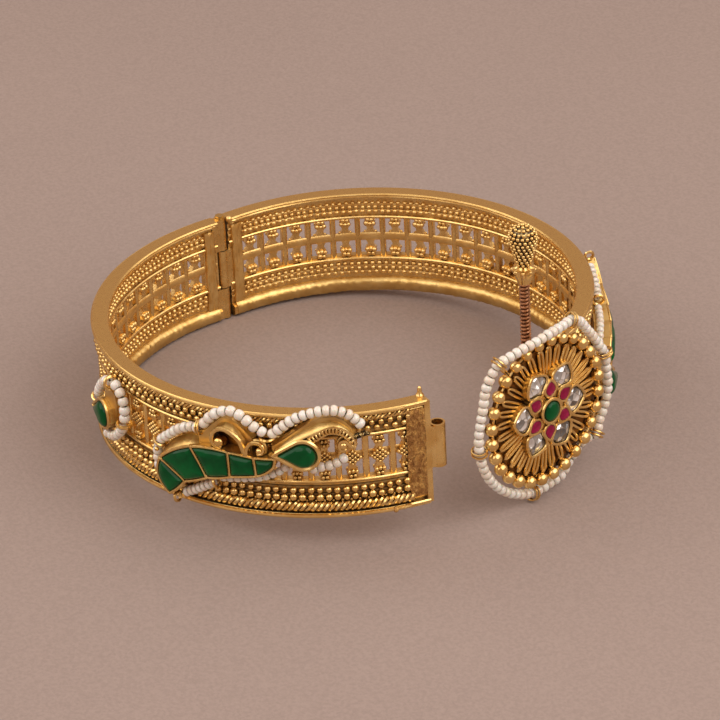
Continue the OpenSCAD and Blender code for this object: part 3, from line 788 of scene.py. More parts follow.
SCROLLS = [
    # thickness at both ends, then degrees and height
    (0.3, 0.4, [(-53.9, 11.3), (-55.3, 11.5), (-55.9, 12.3), (-55.4, 13.3), (-54.1, 14), (-52.6, 14.1),
                (-50.9, 13.6), (-49.5, 12.9), (-48.6, 11.9), (-48.1, 10.7)]),
    (0.3, 0.24, [(-47.7, 10.5), (-47.6, 11.5), (-46.7, 12.4), (-45.5, 12.6), (-44.3, 12.4), (-43.7, 11.7),
                 (-44.2, 11), (-45, 10.9)]),
    (0.19, 0.19, [(-33.6, 13.7), (-31.6, 14.5), (-29.3, 15.15), (-27.2, 15.15), (-25.3, 14.5), (-23.9, 13.5),
                  (-23.3, 12.3)]),
    (0.16, 0.16, [(-32.6, 13), (-31.2, 13.6), (-29.4, 14.25), (-27.9, 14.3), (-26.3, 14), (-25, 13.3),
                  (-24.2, 12.3)]),
    (0.3, 0.24, [(-23.6, 12), (-24.6, 12.3), (-25.4, 12.9), (-26.5, 13), (-27, 12.3), (-26.5, 11.6),
                 (-25.6, 11.7)]),
]
HOLLOWS = [
    # degrees and height round the grounds behind the scrolls, painted dark as painted shade in the holes
    [(-55.4, 10.9), (-48.2, 10.6), (-48.6, 11.9), (-50, 13.1), (-52, 13.9), (-54, 13.9), (-55.6, 12.8)],
    [(-47.4, 10.6), (-43.9, 10.9), (-44, 11.8), (-45.5, 12.4), (-47, 12)],
]
KNOBS = [
    # degrees, height, radius of the arm, radius of the ball
    (-54.3, 11.9, 34.9, 0.78), (-44.8, 11.3, 35, 0.5), (-26, 12.3, 35, 0.6), (-71.9, 7.9, 34.9, 0.32),
]
HOOPS = [
    # degrees, height, radius of the arm, degrees of lean, radius of the hoop, radius of its wire
    (-59.75, 13.2, 34.4, 8, 1.0, 0.16), (-59.2, 13.3, 34.4, 8, 1.0, 0.16), (-43, 13.2, 34.5, 90, 0.95, 0.2),
    (-71.9, 8.9, 34.1, 60, 0.9, 0.2), (-56.4, 4.95, 34, 20, 0.85, 0.22), (-85.2, 8.3, 34.1, 85, 1.0, 0.27),
    (-89.9, 13.6, 34.2, 10, 0.95, 0.24), (-100.6, 8.4, 33.9, 60, 0.9, 0.2),
    (-67.2, 1.1, 34.4, 12, 0.62, 0.22),
]
STRING_ROWS = [
    # angle in the rosette's plane, distance from its centre, height
    (66.5, 12.95, 0.2), (76, 12.4, 0.7), (91, 12.1, 1.1), (104, 12.25, 1.1), (116, 12.85, 0.8),
    (130, 14.05, 0.2), (135, 13.95, 0), (143, 13.5, -0.35), (150, 12.9, -0.6), (158, 12.4, -0.6),
    (168, 12.4, -0.6), (178, 12.55, -0.6), (188, 12.65, -0.6), (201, 12.7, -0.6), (215, 12.7, -0.6),
    (230, 12.65, -0.6), (245, 12.6, -0.6), (258, 12.6, -0.6), (270, 12.4, -0.6), (284, 12.4, -0.6),
    (291, 12.15, -0.8), (299, 11.75, -1.0), (309, 11.7, -1.0), (316, 12.1, -0.7), (321, 12.9, -0.25),
    (330, 12.85, -0.6), (340, 13.05, -0.6), (352, 13.05, -0.6), (365, 12.75, -0.6), (376, 12.95, -0.6),
    (383, 12.5, -0.6), (390, 12.4, -0.6), (399, 12.3, -0.4), (409, 12.5, -0.2), (417, 12.9, 0),
]
# the points of the string that have a hook, and the height of the hooks' stems
HOOK_ROWS = (0, 5, 12, 17, 24, 29)
STEM_Z = -0.6
# distance along a petal and half its width
POLKI_HALF = [(3.15, 0), (3.75, 0.85), (4.1, 1.55), (4.5, 1.95), (5, 2), (5.6, 1.7), (6.2, 1.1), (6.7, 0.4),
              (6.85, 0)]
RUBY_HALF = [(2.1, 0), (2.3, 0.5), (2.8, 0.95), (3.3, 1), (3.8, 0.75), (4.25, 0.35), (4.5, 0)]


def left_of(v):
    """A direction in the plane, turned a quarter to the left."""
    return np.array([-v[1], v[0]])


def bowed(p, q, bulge, steps):
    """Points from p up to q, bowed to the right of the way."""
    p, q = np.array(p, float), np.array(q, float)
    if np.linalg.norm(q - p) < 0.01:
        return []
    aside = left_of(unit(q - p)) * bulge * 4
    return [p + (q - p) * t - aside * t * (1 - t) for t in np.arange(steps) / steps]


def inset(outline, d):
    """A counter-clockwise outline moved inwards by d."""
    v = np.asarray(outline, float)
    made = []
    for before, p, after in zip(np.roll(v, 1, axis=0), v, np.roll(v, -1, axis=0)):
        a = left_of(unit(p - before))
        b = left_of(unit(after - p))
        made.append(p + (a + b) * d / max(0.5, 1 + a @ b))
    return np.array(made)


def refine(outline, step=0.25):
    """The same outline with more points on its long sides."""
    v = np.asarray(outline, float)
    made = []
    for p, q in zip(v, np.roll(v, -1, axis=0)):
        n = max(1, round(np.linalg.norm(q - p) / step))
        made.extend(p + (q - p) * k / n for k in range(n))
    return np.array(made)


def feather_cell(i):
    """The angle at the middle of a feather's cell, and its outline."""
    a, b = FEATHER[i], FEATHER[i + 1]
    mid = (a[0] + a[2] + b[0] + b[2]) / 4
    low_a, low_b, up_b, up_a = (
        ((deg - mid) * math.pi / 180 * FACE_R, z)
        for deg, z in ((a[2], a[3]), (b[2], b[3]), (b[0], b[1]), (a[0], a[1])))
    return mid, np.array(bowed(low_a, low_b, a[5], 8) + bowed(low_b, up_b, 0, 5)
                         + bowed(up_b, up_a, a[4], 8) + bowed(up_a, low_a, 0, 5))


def drop_outline(r, tip, steps=22):
    """A drop: a circle of radius r with a point at distance tip."""
    reach = math.pi - math.acos(r / tip)
    angles = np.linspace(-reach, reach, steps + 1)
    return np.vstack([(-tip, 0), np.column_stack([r * np.cos(angles), r * np.sin(angles)])])


def petal(half):
    """A pointed petal's outline from its half widths."""
    fine = []
    for a, b in zip(np.array(half[:-1]), np.array(half[1:])):
        fine.extend(a + (b - a) * t for t in (0, 1 / 3, 2 / 3))
    fine = np.array(fine + [half[-1]])
    width = fine[:, 1].copy()
    width[1:-1] = (width[:-2] + 2 * width[1:-1] + width[2:]) / 4
    upper = np.column_stack([fine[:, 0], width])
    return np.vstack([upper * (1, -1), upper[-2:0:-1]])


def loop_at(outline, place, out):
    """An outline as a closed route, standing out from its place."""
    return place.put(np.column_stack([outline, np.full(len(outline), out)]))


class ORNAMENT:
    """What the operators share"""
    bl_options = {"REGISTER", "UNDO"}

    @classmethod
    def poll(cls, context):
        return context.scene is not None


# Operators

def mm(value):
    return value / MM


class BANGLE_OT_metal(ORNAMENT, bpy.types.Operator):
    """Give the carried-over gold nodes their finishes"""
    bl_idname = "bangle.metal"
    bl_label = "Finish the metal"

    def execute(self, context):
        make_finishes(context.scene.bangle_colours)
        for name in ("front_band", "back_band"):
            node_material(name, name)
        for name in ("hinge_pin", "front_casting", "back_casting", "front_leaf_mount", "back_leaf_mount",
                     "flower_setting"):
            node_material(name, "satin")
        # the dish is painted dark: painted shade in the gaps between its hairpins, also standing for oxide
        node_material("rosette_dish", "dark")
        node_material("gold_bead_ring", "bead")
        return {"FINISHED"}


def strand(shape, z, r, start, end, thick, lead, phase, share):
    """One helical strand of a rope that runs round an arm."""
    span = math.radians(end - start) * r
    count = int(span / lead * 10)
    core = thick * (1 - share)
    route = []
    for t in np.arange(count + 1) / count:
        a = t * span / lead * 2 * math.pi + phase
        route.append(polar(start + (end - start) * t, z + core * math.sin(a), r + core * math.cos(a) * 0.8))
    shape.tube(route, thick * share, 7)


class BANGLE_OT_twisted_wire(ORNAMENT, bpy.types.Operator):
    """Lay the twisted wires over the lower rims and under the upper ones, and edge the rims"""
    bl_idname = "bangle.twisted_wire"
    bl_label = "Twisted wire"

    def execute(self, context):
        sizes = context.scene.bangle_sizes
        for arm, stand in BANDS:
            start, end = ARMS[arm][:2]
            for name, thick, z, lead, share in (("lower", mm(sizes.rope_r), 1.65, 2.35, 0.37),
                                                ("upper", mm(sizes.fine_rope_r), 14.85, 1.95, 0.4)):
                rope = Shape()
                for phase in (0, 2 * math.pi / 3, 4 * math.pi / 3):
                    strand(rope, z, WALL_R + 0.3, start, end, thick, lead, phase, share)
                piece(f"{arm}_{name}_rope", rope, "wire", stand)
            edges = Shape()
            clasp_end = 7.2 if arm == "back" else -5.2
            first, last = sorted((ARMS[arm][3], clasp_end))
            for z, r, thick in ((15.72, RING_R, 0.2), (0.42, RING_R, 0.3), (15.5, RIM_IN_R + 0.12, 0.22)):
                # the outer wires sink into the front rim where the rosette closes over it
                sunk = 0.4 if arm == "front" and r == RING_R else 0
                edges.tube([polar(d, z, r - np.interp(abs(d), (9.5, 11.5), (sunk, 0)))
                            for d in np.linspace(first, last, 150)], thick, 8)
            piece(arm + "_rim_wires", edges, "wire", stand)
        return {"FINISHED"}


ROWS = [
    # height, radius of the arm, radius of a granule, degrees from one to the next, their shift in steps
    (14.05, WALL_R + 0.3, 0.46, 2.2, 0.5),
    (13.2, WALL_R + 0.34, 0.47, 2.2, 0),
    (4.2, WALL_R + 0.36, 0.51, 2.1, 0),
    (3.15, WALL_R + 0.42, 0.55, 2.1, 0),
    (2.5, WALL_R + 0.16, 0.22, 2.1, 0.5),
]
INNER_ROWS = [
    # the same inside the arms
    (14.25, WALL_IN_R - 0.06, 0.36, 1.75, 0.5),
    (13.6, WALL_IN_R - 0.08, 0.37, 1.75, 0),
    (12.9, WALL_IN_R - 0.1, 0.4, 1.75, 0),
    (4.35, WALL_IN_R - 0.1, 0.4, 1.85, 0),
    (3.6, WALL_IN_R - 0.08, 0.37, 1.85, 0),
    (2.9, WALL_IN_R - 0.06, 0.36, 1.85, 0.5),
]


class BANGLE_OT_granule_rows(ORNAMENT, bpy.types.Operator):
    """Set the rows of granules above and below the gallery, outside and inside"""
    bl_idname = "bangle.granule_rows"
    bl_label = "Rows of granules"

    def execute(self, context):
        rng = random.Random(5)
        for arm, stand in BANDS:
            start, end = ARMS[arm][:2]
            for side, rows, material in (("outer", ROWS, "bead"), ("inner", INNER_ROWS, "inside")):
                shape = Shape()
                for z, r, size, step, shift in rows:
                    count = int((end - start) / step)
                    for i in range(count):
                        deg = start + (i + 0.3 + shift) * (end - start) / count + rng.uniform(-0.08, 0.08)
                        spot = polar(deg, z + rng.uniform(-0.05, 0.05), r)
                        shape.ball(spot, size * rng.uniform(0.88, 1.05))
                piece(f"{arm}_{side}_granules", shape, material, stand)
        return {"FINISHED"}


def column_spots():
    """Where the granules of one gallery column lie: offset round the arm, height and size."""
    step = 0.37
    spots = []
    for x, z in ((-0.28, 1.05), (0.3, 1.1), (-0.52, 0.42), (0, 0.36), (0.54, 0.46)):
        spots.append((x, 10.45 + z, 1.15))
        spots.append((-x, 7.05 - z, 1.15))
    for i in range(4):
        for j in range(4):
            spots.append(((i - j) * step, GALLERY_Z + (i + j - 3) * step * 0.88, 1))
    return spots


class BANGLE_OT_columns(ORNAMENT, bpy.types.Operator):
    """Set the granules on the gallery's columns, round its bars and on the strip behind them"""
    bl_idname = "bangle.columns"
    bl_label = "Gallery columns"

    def execute(self, context):
        size = mm(context.scene.bangle_sizes.granule_r)
        rng = random.Random(9)
        for arm, stand in BANDS:
            way, hinge_end = ARMS[arm][2:]
            outer, inner, bars, strip = (Shape() for made in range(4))
            # the front arm has one more column, half of it under the clasp's solder
            first = -1 if arm == "front" else 0
            for k in range(first, COLUMNS):
                mid = way * (BAR_START + BAR_PITCH * (k + 0.5))
                for x, z, big in column_spots():
                    if k < 0 and x > 0.5:
                        continue
                    outer.ball(polar(mid + math.degrees(x / WALL_R), z, WALL_R + 0.1),
                               size * big * rng.uniform(0.92, 1.06), 9, 6)
                    if big > 1:
                        inner.ball(polar(mid + math.degrees(x / WALL_IN_R), z, WALL_IN_R - 0.08),
                                   size * 1.4 * rng.uniform(0.8, 1.1), 8, 5)
            for k in range(COLUMNS + 1):
                mid = way * (BAR_START + BAR_PITCH * k)
                for r in (WALL_R, WALL_IN_R):
                    route = [polar(mid, z, r) for z in (5.5, 7, GALLERY_Z, 10.5, 12)]
                    bars.tube(route, 0.4, 8, flat=0.5, up=polar(mid, 0, 1))
            mids = np.linspace(*sorted((hinge_end, way * 11)), 140)
            strip.tube([polar(d, GALLERY_Z, WALL_IN_R - 0.02) for d in mids], 0.62, 8, flat=0.25,
                       up=np.array([polar(d, 0, 1) for d in mids]))
            piece(arm + "_column_granules", outer, "bead", stand)
            piece(arm + "_inner_granules_of_columns", inner, "inside", stand)
            piece(arm + "_gallery_bars", bars, "gold", stand)
            piece(arm + "_inner_strip", strip, "inside", stand)
        return {"FINISHED"}


FOOT = [
    # height and radius up the worn inner side of the lower rim
    (0.12, 30.72), (0.35, 30.56), (0.75, 30.52), (1.15, 30.54), (1.5, 30.64), (1.8, 30.84), (2.05, 31.2),
    (2.15, 31.6),
]


def rough_plate(shape, first, last, low, high, r, depth, rng, inwards=False, ragged=0.0):
    """A plate bent round an arm, with an uneven face and, if wanted, a ragged edge where it starts."""
    rows = 30
    columns = max(10, int(abs(last - first) * 5))
    way = -1 if inwards else 1
    starts = [first + ragged * rng.uniform(-1, 1) for i in range(rows + 1)]
    loops = []
    for k in range(columns + 1):
        loop = []
        for i in range(rows + 1):
            edge = min(i, rows - i, k, columns - k)
            bump = rng.uniform(-0.06, 0.12) + (0 if edge else -0.12)
            deg = starts[i] + (last - starts[i]) * k / columns
            loop.append(polar(deg, low + (high - low) * i / rows, r + way * bump))
        deg = first + (last - first) * k / columns
        for z in (high, low):
            loop.append(polar(deg, z, r - way * depth))
        loops.append(np.array(loop))
    shape.rings(loops, flip=inwards)


class BANGLE_OT_arm_ends(ORNAMENT, bpy.types.Operator):
    """Lay the plain plates by the hinge and the soldered one by the clasp"""
    bl_idname = "bangle.arm_ends"
    bl_label = "Ends of the arms"

    def execute(self, context):
        rng = random.Random(11)
        for arm, stand in BANDS:
            way, hinge_end = ARMS[arm][2:]
            plates = Shape()
            for r, inwards in ((WALL_IN_R - 0.45, True), (WALL_R + 0.45, False)):
                rough_plate(plates, hinge_end, hinge_end - way * 3.1, 1.9, 14.7, r, 0.6, rng, inwards)
            piece(arm + "_hinge_plates", plates, "inside", stand)
            foot = Shape()
            loops = []
            for d in np.linspace(*sorted((hinge_end, way * 6)), 360):
                loops.append(np.array([polar(d, z + rng.uniform(-0.05, 0.05), r + rng.uniform(-0.07, 0.07))
                                       for z, r in FOOT] + [polar(d, 1.9, 31.6), polar(d, 0.15, 31.2)]))
            foot.rings(loops)
            piece(arm + "_inner_foot", foot, "satin", stand)
        solder = Shape()
        rough_plate(solder, -10.3, -5.6, 1.5, 14.9, WALL_R + 0.66, 0.9, rng, ragged=0.5)
        solder.ball(polar(-14.2, 0.35, 33.1), 0.42, 12, 8)
        piece("clasp_solder", solder, "stained", front)
        pip = Shape()
        pip.lathe([(0.62, -0.1), (0.5, 0.15), (0.32, 0.4), (0.3, 0.9), (0.22, 1.2), (0.1, 1.3)],
                  Place(polar(-5.6, BAND_H, 31.1)), 16)
        piece("clasp_pip", pip, "gold", front)
        blobs = Shape()
        for z, r, deg in ((15.9, 0.5, 178.1), (15.2, 0.36, 177.2), (15.4, 0.3, 175.6)):
            blobs.ball(polar(deg, z, 31), r, 12, 8)
        piece("hinge_solder", blobs, "inside", back)
        return {"FINISHED"}


class BANGLE_OT_stone_edges(ORNAMENT, bpy.types.Operator):
    """Run the gold edge wires round the set stones of both castings"""
    bl_idname = "bangle.stone_edges"
    bl_label = "Stone edges"

    def execute(self, context):
        wire = mm(context.scene.bangle_sizes.edge_r)
        for arm, stand in CASTINGS:
            shape = Shape()
            for i in range(len(FEATHER) - 1):
                mid, outline = feather_cell(i)
                shape.tube(loop_at(refine(inset(outline, -0.02)), on_arm(mid), FACE_R + 0.04), wire, 8, True)
            for (mid, z, r, tip), wider, longer, out, share in ((DROP, 0.2, 0.35, FACE_R + 0.18, 1.7),
                                                                (LEAF, 0.16, 0.28, LEAF_FACE_R + 0.06, 1.2)):
                edge = refine(drop_outline(r + wider, tip + longer), 0.3)
                shape.tube(loop_at(edge, on_arm(mid, z), out), wire * share, 8, True)
            piece(arm + "_stone_edges", shape, "edge", stand)
        return {"FINISHED"}


class BANGLE_OT_scrolls(ORNAMENT, bpy.types.Operator):
    """Model the casting's hood, crest and shoulder, its scrolls, balls and wire hooks"""
    bl_idname = "bangle.scrolls"
    bl_label = "Scrolls"

    def execute(self, context):
        for arm, stand in CASTINGS:
            coves = Shape()
            for low_r, high_r, upper, lower in COVES:
                swell(coves, upper, lower, low_r, high_r)
            piece(arm + "_coves", coves, "satin", stand)
            hollows = Shape()
            for outline in HOLLOWS:
                mid = np.array(outline).mean(axis=0)
                flat = [((deg - mid[0]) * math.pi / 180 * SEAT_R, z - mid[1]) for deg, z in outline]
                hollows.dome(refine(flat, 0.4), [(0, 32.6), (0, 33.35), (0.1, 33.4)], on_arm(*mid))
            # the hollows are dark sheets: painted shade in the holes behind the scrolls
            piece(arm + "_hollows", hollows, "dark", stand)
            wires = Shape()
            for thick, end_thick, rows in SCROLLS:
                wire_on_arm(wires, rows, 35.2, thick, end_thick)
            for deg, z, r, size in KNOBS:
                wires.ball(polar(deg, z, r), size, 18, 12)
            teeth = np.stack([resampled(SCROLLS[2][2], 15), resampled(SCROLLS[3][2], 15)])
            for a, b in zip(*teeth):
                wires.tube([polar(*a, 35.2), polar(*(a * 0.5 + b * 0.5), 35.35), polar(*b, 35.2)], 0.17, 8)
            piece(arm + "_scrolls", wires, "wire", stand)
            hoops = Shape()
            for deg, z, r, lean, size, thick in HOOPS:
                hoop(hoops, spun(lean).within(on_arm(deg, z, r)), size, thick)
            piece(arm + "_string_hoops", hoops, "wire", stand)
        coil = Shape()
        route = []
        for t in np.linspace(0, 1, 70):
            a = t * 5 * 2 * math.pi
            deg = -23.6 + 3.1 * t + math.degrees(0.3 * math.cos(a) / 34.6)
            route.append(polar(deg, 13.3 + 0.5 * t + 0.3 * math.sin(a), 34.7 + 0.25 * math.cos(a)))
        coil.tube(route, 0.11, 6)
        piece("front_wire_coil", coil, "tarnish", front)
        return {"FINISHED"}


def gem_steps(low, face, top):
    """A flat-topped stone with a rounded edge: how far each step draws in, and its height."""
    steps = [(0, low), (0, face)]
    for k in range(1, 6):
        a = math.pi / 2 * k / 5
        steps.append((0.14 * (1 - math.cos(a)), face + (top - face) * 0.8 * math.sin(a)))
    return steps + [(0.4, face + (top - face) * 0.93), (0.7, top)]


def cabochon_steps(low, face, rise):
    """A stone that is rounded all over."""
    turns = [math.radians(a) for a in (12, 26, 40, 54, 68, 80)]
    return [(0, low), (0, face)] + [(0.8 * (1 - math.cos(a)), face + rise * math.sin(a)) for a in turns]


class BANGLE_OT_green_stones(ORNAMENT, bpy.types.Operator):
    """Set the green stones of the feathers, the drops and the leaves"""
    bl_idname = "bangle.green_stones"
    bl_label = "Green stones"

    def execute(self, context):
        for arm, stand in CASTINGS:
            for i in range(len(FEATHER) - 1):
                mid, outline = feather_cell(i)
                shape = Shape()
                steps = cabochon_steps(POCKET_R + 0.05, FACE_R - 0.15, 0.85)
                shape.dome(refine(inset(outline, 0.15)), steps, on_arm(mid))
                piece(f"{arm}_feather_stone_{i + 1}", shape, "green", stand, f"{arm}_inlay_{i + 1}")
            for name, (mid, z, r, tip), low, face, rise in (
                    ("drop", DROP, POCKET_R + 0.05, FACE_R + (0.35 if arm == "back" else 0), 1.3),
                    ("leaf", LEAF, 33.85, LEAF_FACE_R, 0.9)):
                shape = Shape()
                outline = drop_outline(r - 0.05, tip - 0.1, 30)
                shape.dome(outline, cabochon_steps(low, face, rise), on_arm(mid, z))
                piece(f"{arm}_{name}_gem", shape, "green", stand, f"{arm}_{name}_stone")
        return {"FINISHED"}


SEED = [
    # share of a seed pearl's radius, share of half its length
    (0.2, -0.7), (0.45, -0.98), (0.72, -0.88), (0.92, -0.55), (1.0, 0), (0.92, 0.55), (0.72, 0.88),
    (0.45, 0.98), (0.2, 0.7),
]


def seed_pearl(shape, centre, along, r, length, rng):
    """One seed pearl on its thread: a short rounded tube."""
    along = unit(along)
    side = unit(np.cross(along, (0.31, 0.2, 0.93)))
    r = r * rng.uniform(0.95, 1.04)
    half = length * rng.uniform(0.47, 0.52)
    tilt = unit(along + side * rng.uniform(-0.1, 0.1) + np.cross(along, side) * rng.uniform(-0.1, 0.1))
    side = unit(side - tilt * (side @ tilt))
    place = Place(centre, side, np.cross(tilt, side), tilt)
    shape.ring([(p * r, q * half) for p, q in SEED], place, 16)


def thread_pearls(shape, route, r, rng, closed=False):
    """Seed pearls along a route, one at each of its points."""
    along = along_of(route, closed)
    step = np.linalg.norm(np.diff(route, axis=0), axis=1).mean()
    for p, a in zip(route, along):
        seed_pearl(shape, p, a, r, step, rng)


class BANGLE_OT_arm_pearls(ORNAMENT, bpy.types.Operator):
    """Thread the strings of seed pearls round the castings and the leaves"""
    bl_idname = "bangle.arm_pearls"
    bl_label = "Pearls of the arms"

    def execute(self, context):
        sizes = context.scene.bangle_sizes
        scale = mm(sizes.pearl_r) / 0.75
        rng = random.Random(3)
        for arm, stand in CASTINGS:
            for name, strings in (("", STRINGS), ("_leaf", LEAF_STRINGS)):
                shape = Shape()
                for step, size, r, rows in strings:
                    # the back arm's longest string stops short of the rosette
                    if arm == "back" and rows[-1][0] > -23:
                        rows = rows[:-2]
                    route = arm_route([(deg, z, r) for deg, z in rows], step)
                    thread_pearls(shape, route, size * scale, rng)
                piece(f"{arm}{name}_seed_pearls", shape, "pearl", stand, f"{arm}{name}_pearls")
        return {"FINISHED"}


class BANGLE_OT_rosette_beads(ORNAMENT, bpy.types.Operator):
    """Set the ring of beads round the rosette, with a dark ring behind it as painted shade in the gaps
    between the beads
    """
    bl_idname = "bangle.rosette_beads"
    bl_label = "Rosette beads"

    def execute(self, context):
        rng = random.Random(17)
        beads = Shape()
        for x, y, z in circle(BEAD_RING_R, BEAD_COUNT, 0.12, 0.5):
            # the beads that the screw's head passes are smaller and further out
            near = 1 if y > 0.8 * BEAD_RING_R else 0
            spot = [c + rng.uniform(-0.06, 0.06) for c in (x - 0.36, y + 0.1, z + 0.2 * near)]
            beads.ball(spot, rng.uniform(0.9, 0.97) - 0.12 * near, 20, 14)
        beads.tube(circle(BEAD_RING_R, 96), 0.18, 6, True)
        piece("rosette_bead_ring", beads, "bead", rosette, "gold_bead_ring")
        rim = Shape()
        rim.lathe([(8.6, -0.8), (10.45, -0.8), (10.6, -0.7), (10.45, -0.6), (8.6, -0.6)], Place(), 96)
        # a dark ring behind the beads: painted shade
        piece("rosette_rim_backing", rim, "dark", rosette)
        return {"FINISHED"}


HAIRPIN = [
    # degrees from the hairpin's middle, distance from the rosette's centre, height, along one leg
    (-2.6, 5.3, -0.05), (-2.7, 6.6, -0.02), (-2.45, 8.2, -0.02), (-1.9, 9.05, -0.05), (-0.8, 9.45, -0.1),
]
HAIRPIN += [(-deg, r, z) for deg, r, z in reversed(HAIRPIN)]


class BANGLE_OT_rosette_wires(ORNAMENT, bpy.types.Operator):
    """Fill the rosette's dish with wire hairpins and edge its petals"""
    bl_idname = "bangle.rosette_wires"
    bl_label = "Rosette wires"

    def execute(self, context):
        sizes = context.scene.bangle_sizes
        rng = random.Random(21)
        shape = Shape()
        for k in range(sizes.hairpins):
            mid = (k + 0.5) * 360 / sizes.hairpins + rng.uniform(-0.7, 0.7)
            reach = rng.uniform(-0.2, 0.1)
            route = smooth_route([polar(mid + deg, z, r + reach * (r > 9)) for deg, r, z in HAIRPIN], 0.3)
            shape.tube(route, mm(sizes.hairpin_r), 8)
        piece("rosette_hairpins", shape, "edge", rosette)
        edges = Shape()
        edge = mm(sizes.edge_r)
        for k in range(PETALS):
            for half, turn, z in ((POLKI_HALF, 0, FLOWER_FACE + 0.1), (RUBY_HALF, 30, FLOWER_FACE + 0.18)):
                outline = refine(inset(petal(half), -0.1), 0.3)
                edges.tube(loop_at(outline, spun(360 / PETALS * k + turn), z), edge, 8, True)
        edges.tube(circle(1.74, 32, 1.32), edge * 1.15, 8, True)
        piece("flower_edges", edges, "edge", flower)
        return {"FINISHED"}


class BANGLE_OT_rosette_stones(ORNAMENT, bpy.types.Operator):
    """Set the flower's clear petals, its ruby petals and its green centre"""
    bl_idname = "bangle.rosette_stones"
    bl_label = "Rosette stones"

    def execute(self, context):
        face = FLOWER_FACE
        clear_steps = [(0, 0.12), (0, face - 0.1), (0.14, face + 0.08), (0.4, face + 0.2), (0.7, face + 0.26)]
        for k in range(PETALS):
            for name, half, turn, steps in (("polki", POLKI_HALF, 0, clear_steps),
                                            ("ruby", RUBY_HALF, 30, gem_steps(0.12, face, face + 0.42))):
                shape = Shape()
                shape.dome(inset(petal(half), 0.05), steps, spun(360 / PETALS * k + turn))
                piece(f"{name}_petal_{k + 1}", shape, name, flower, f"{name}_{k + 1}")
        shape = Shape()
        steps = [(0, 0.45), (0, 1.3), (0.05, 1.5), (0.15, 1.68), (0.3, 1.82), (0.5, 1.92), (0.75, 1.98)]
        shape.dome(circle(1.48, 32)[:, :2], steps, Place())
        piece("flower_centre", shape, "green", flower, "centre_stone")
        return {"FINISHED"}


class BANGLE_OT_rosette_pearls(ORNAMENT, bpy.types.Operator):
    """Thread the pearls from hook to hook round the rosette"""
    bl_idname = "bangle.rosette_pearls"
    bl_label = "Pearls of the rosette"

    def execute(self, context):
        sizes = context.scene.bangle_sizes
        rng = random.Random(7)
        route = smooth_route([polar(deg, z, r) for deg, r, z in STRING_ROWS], mm(sizes.pearl_step), True)
        shape = Shape()
        thread_pearls(shape, route, mm(sizes.pearl_r), rng, True)
        piece("rosette_seed_pearls", shape, "pearl", rosette, "rosette_pearls")
        hooks = Shape()
        for i in HOOK_ROWS:
            deg, r, z = STRING_ROWS[i]
            meets = r - math.sqrt(HOOK_R ** 2 - (z - STEM_Z) ** 2)
            for side in (-0.26, 0.26):
                loop = [(r + x, side + y * 0.14 / HOOK_R, z + y) for x, y, flat in circle(HOOK_R, 24)]
                hooks.tube(spun(deg).put(loop), 0.15, 8, True)
                stem = [(9.65, side * 0.5, STEM_Z), (11, side * 0.6, STEM_Z), (meets, side, STEM_Z)]
                hooks.tube(spun(deg).put(stem), 0.16, 6)
        piece("rosette_wire_hooks", hooks, "wire", rosette, "rosette_hooks")
        return {"FINISHED"}


BULB = [
    # height above the collar's foot, radius of the screw's bulb
    (2.6, 0.78), (3.2, 1.0), (4.4, 1.3), (5.6, 1.62), (6.5, 1.84), (7.2, 1.82), (7.9, 1.5), (8.35, 0.95),
    (8.6, 0.35),
]
COLLAR = [
    # radius and height of the fluted collar under it, depth of its lobes
    (0.76, 0.0, 0), (0.92, 0.0, 0.03), (0.98, 0.5, 0.08), (1.1, 1.1, 0.12), (1.4, 1.7, 0.2), (1.5, 2.0, 0.24),
    (1.4, 2.25, 0.22), (1.0, 2.4, 0.1), (0.85, 2.6, 0), (0.5, 2.7, 0),
]
# distances from granule to granule round the bulb and up it
BULB_PITCH = 0.66
BULB_RISE = 0.56
LOBES = 8
LOBES_R = 1.5
# heights of the shank's tip and of its upper end, up in the collar
SHANK_LOW = -14.9
SHANK_HIGH = 1.4


class BANGLE_OT_screw(ORNAMENT, bpy.types.Operator):
    """Make the screw's granulated head and wound shank"""
    bl_idname = "bangle.screw"
    bl_label = "Screw"

    def execute(self, context):
        sizes = context.scene.bangle_sizes
        rng = random.Random(13)
        head = Shape()
        # the core under the granules is blackened: painted shade in the gaps between them
        core = Shape()
        core.lathe([(r - 0.12, z) for z, r in BULB], Place(), 28)
        piece("screw_head_core", core, "tarnish", screw)
        heights, radii = zip(*BULB)
        z = 2.9
        shift = 0
        while z < 8.55:
            r = float(np.interp(z, heights, radii))
            count = max(4, round(2 * math.pi * r / BULB_PITCH))
            for spot in circle(r, count, z, shift):
                head.ball(spot, rng.uniform(0.24, 0.29), 9, 6)
            slope = np.interp(z + 0.2, heights, radii) - r
            z += BULB_RISE * 0.2 / math.hypot(0.2, slope)
            shift = 0.5 - shift
        head.ball((0, 0, 8.7), 0.32, 12, 8)
        head.lathe([row[:2] for row in COLLAR], Place(), 64, LOBES, [row[2] for row in COLLAR])
        for spot in circle(LOBES_R, LOBES, 1.98):
            head.ball(spot, 0.3, 10, 7)
        piece("screw_granulated_head", head, "bead", screw, "screw_head")
        shank = Shape()
        shank.lathe([(0.3, SHANK_LOW), (0.5, SHANK_LOW + 0.15), (0.5, SHANK_HIGH)], Place(), 16)
        step = mm(sizes.thread_step)
        turns = (SHANK_HIGH - SHANK_LOW - 0.5) / step
        angles = np.linspace(0, 2 * math.pi * turns, int(turns * 16))
        around = np.column_stack([np.cos(angles), np.sin(angles), angles * 0])
        rise = np.outer(angles * step / 2 / math.pi + SHANK_LOW + 0.25, (0, 0, 1))
        shank.tube(around * 0.53 + rise, 0.24, 8, up=around)
        piece("screw_wound_shank", shank, "copper", screw, "screw_shank")
        return {"FINISHED"}


# Stage

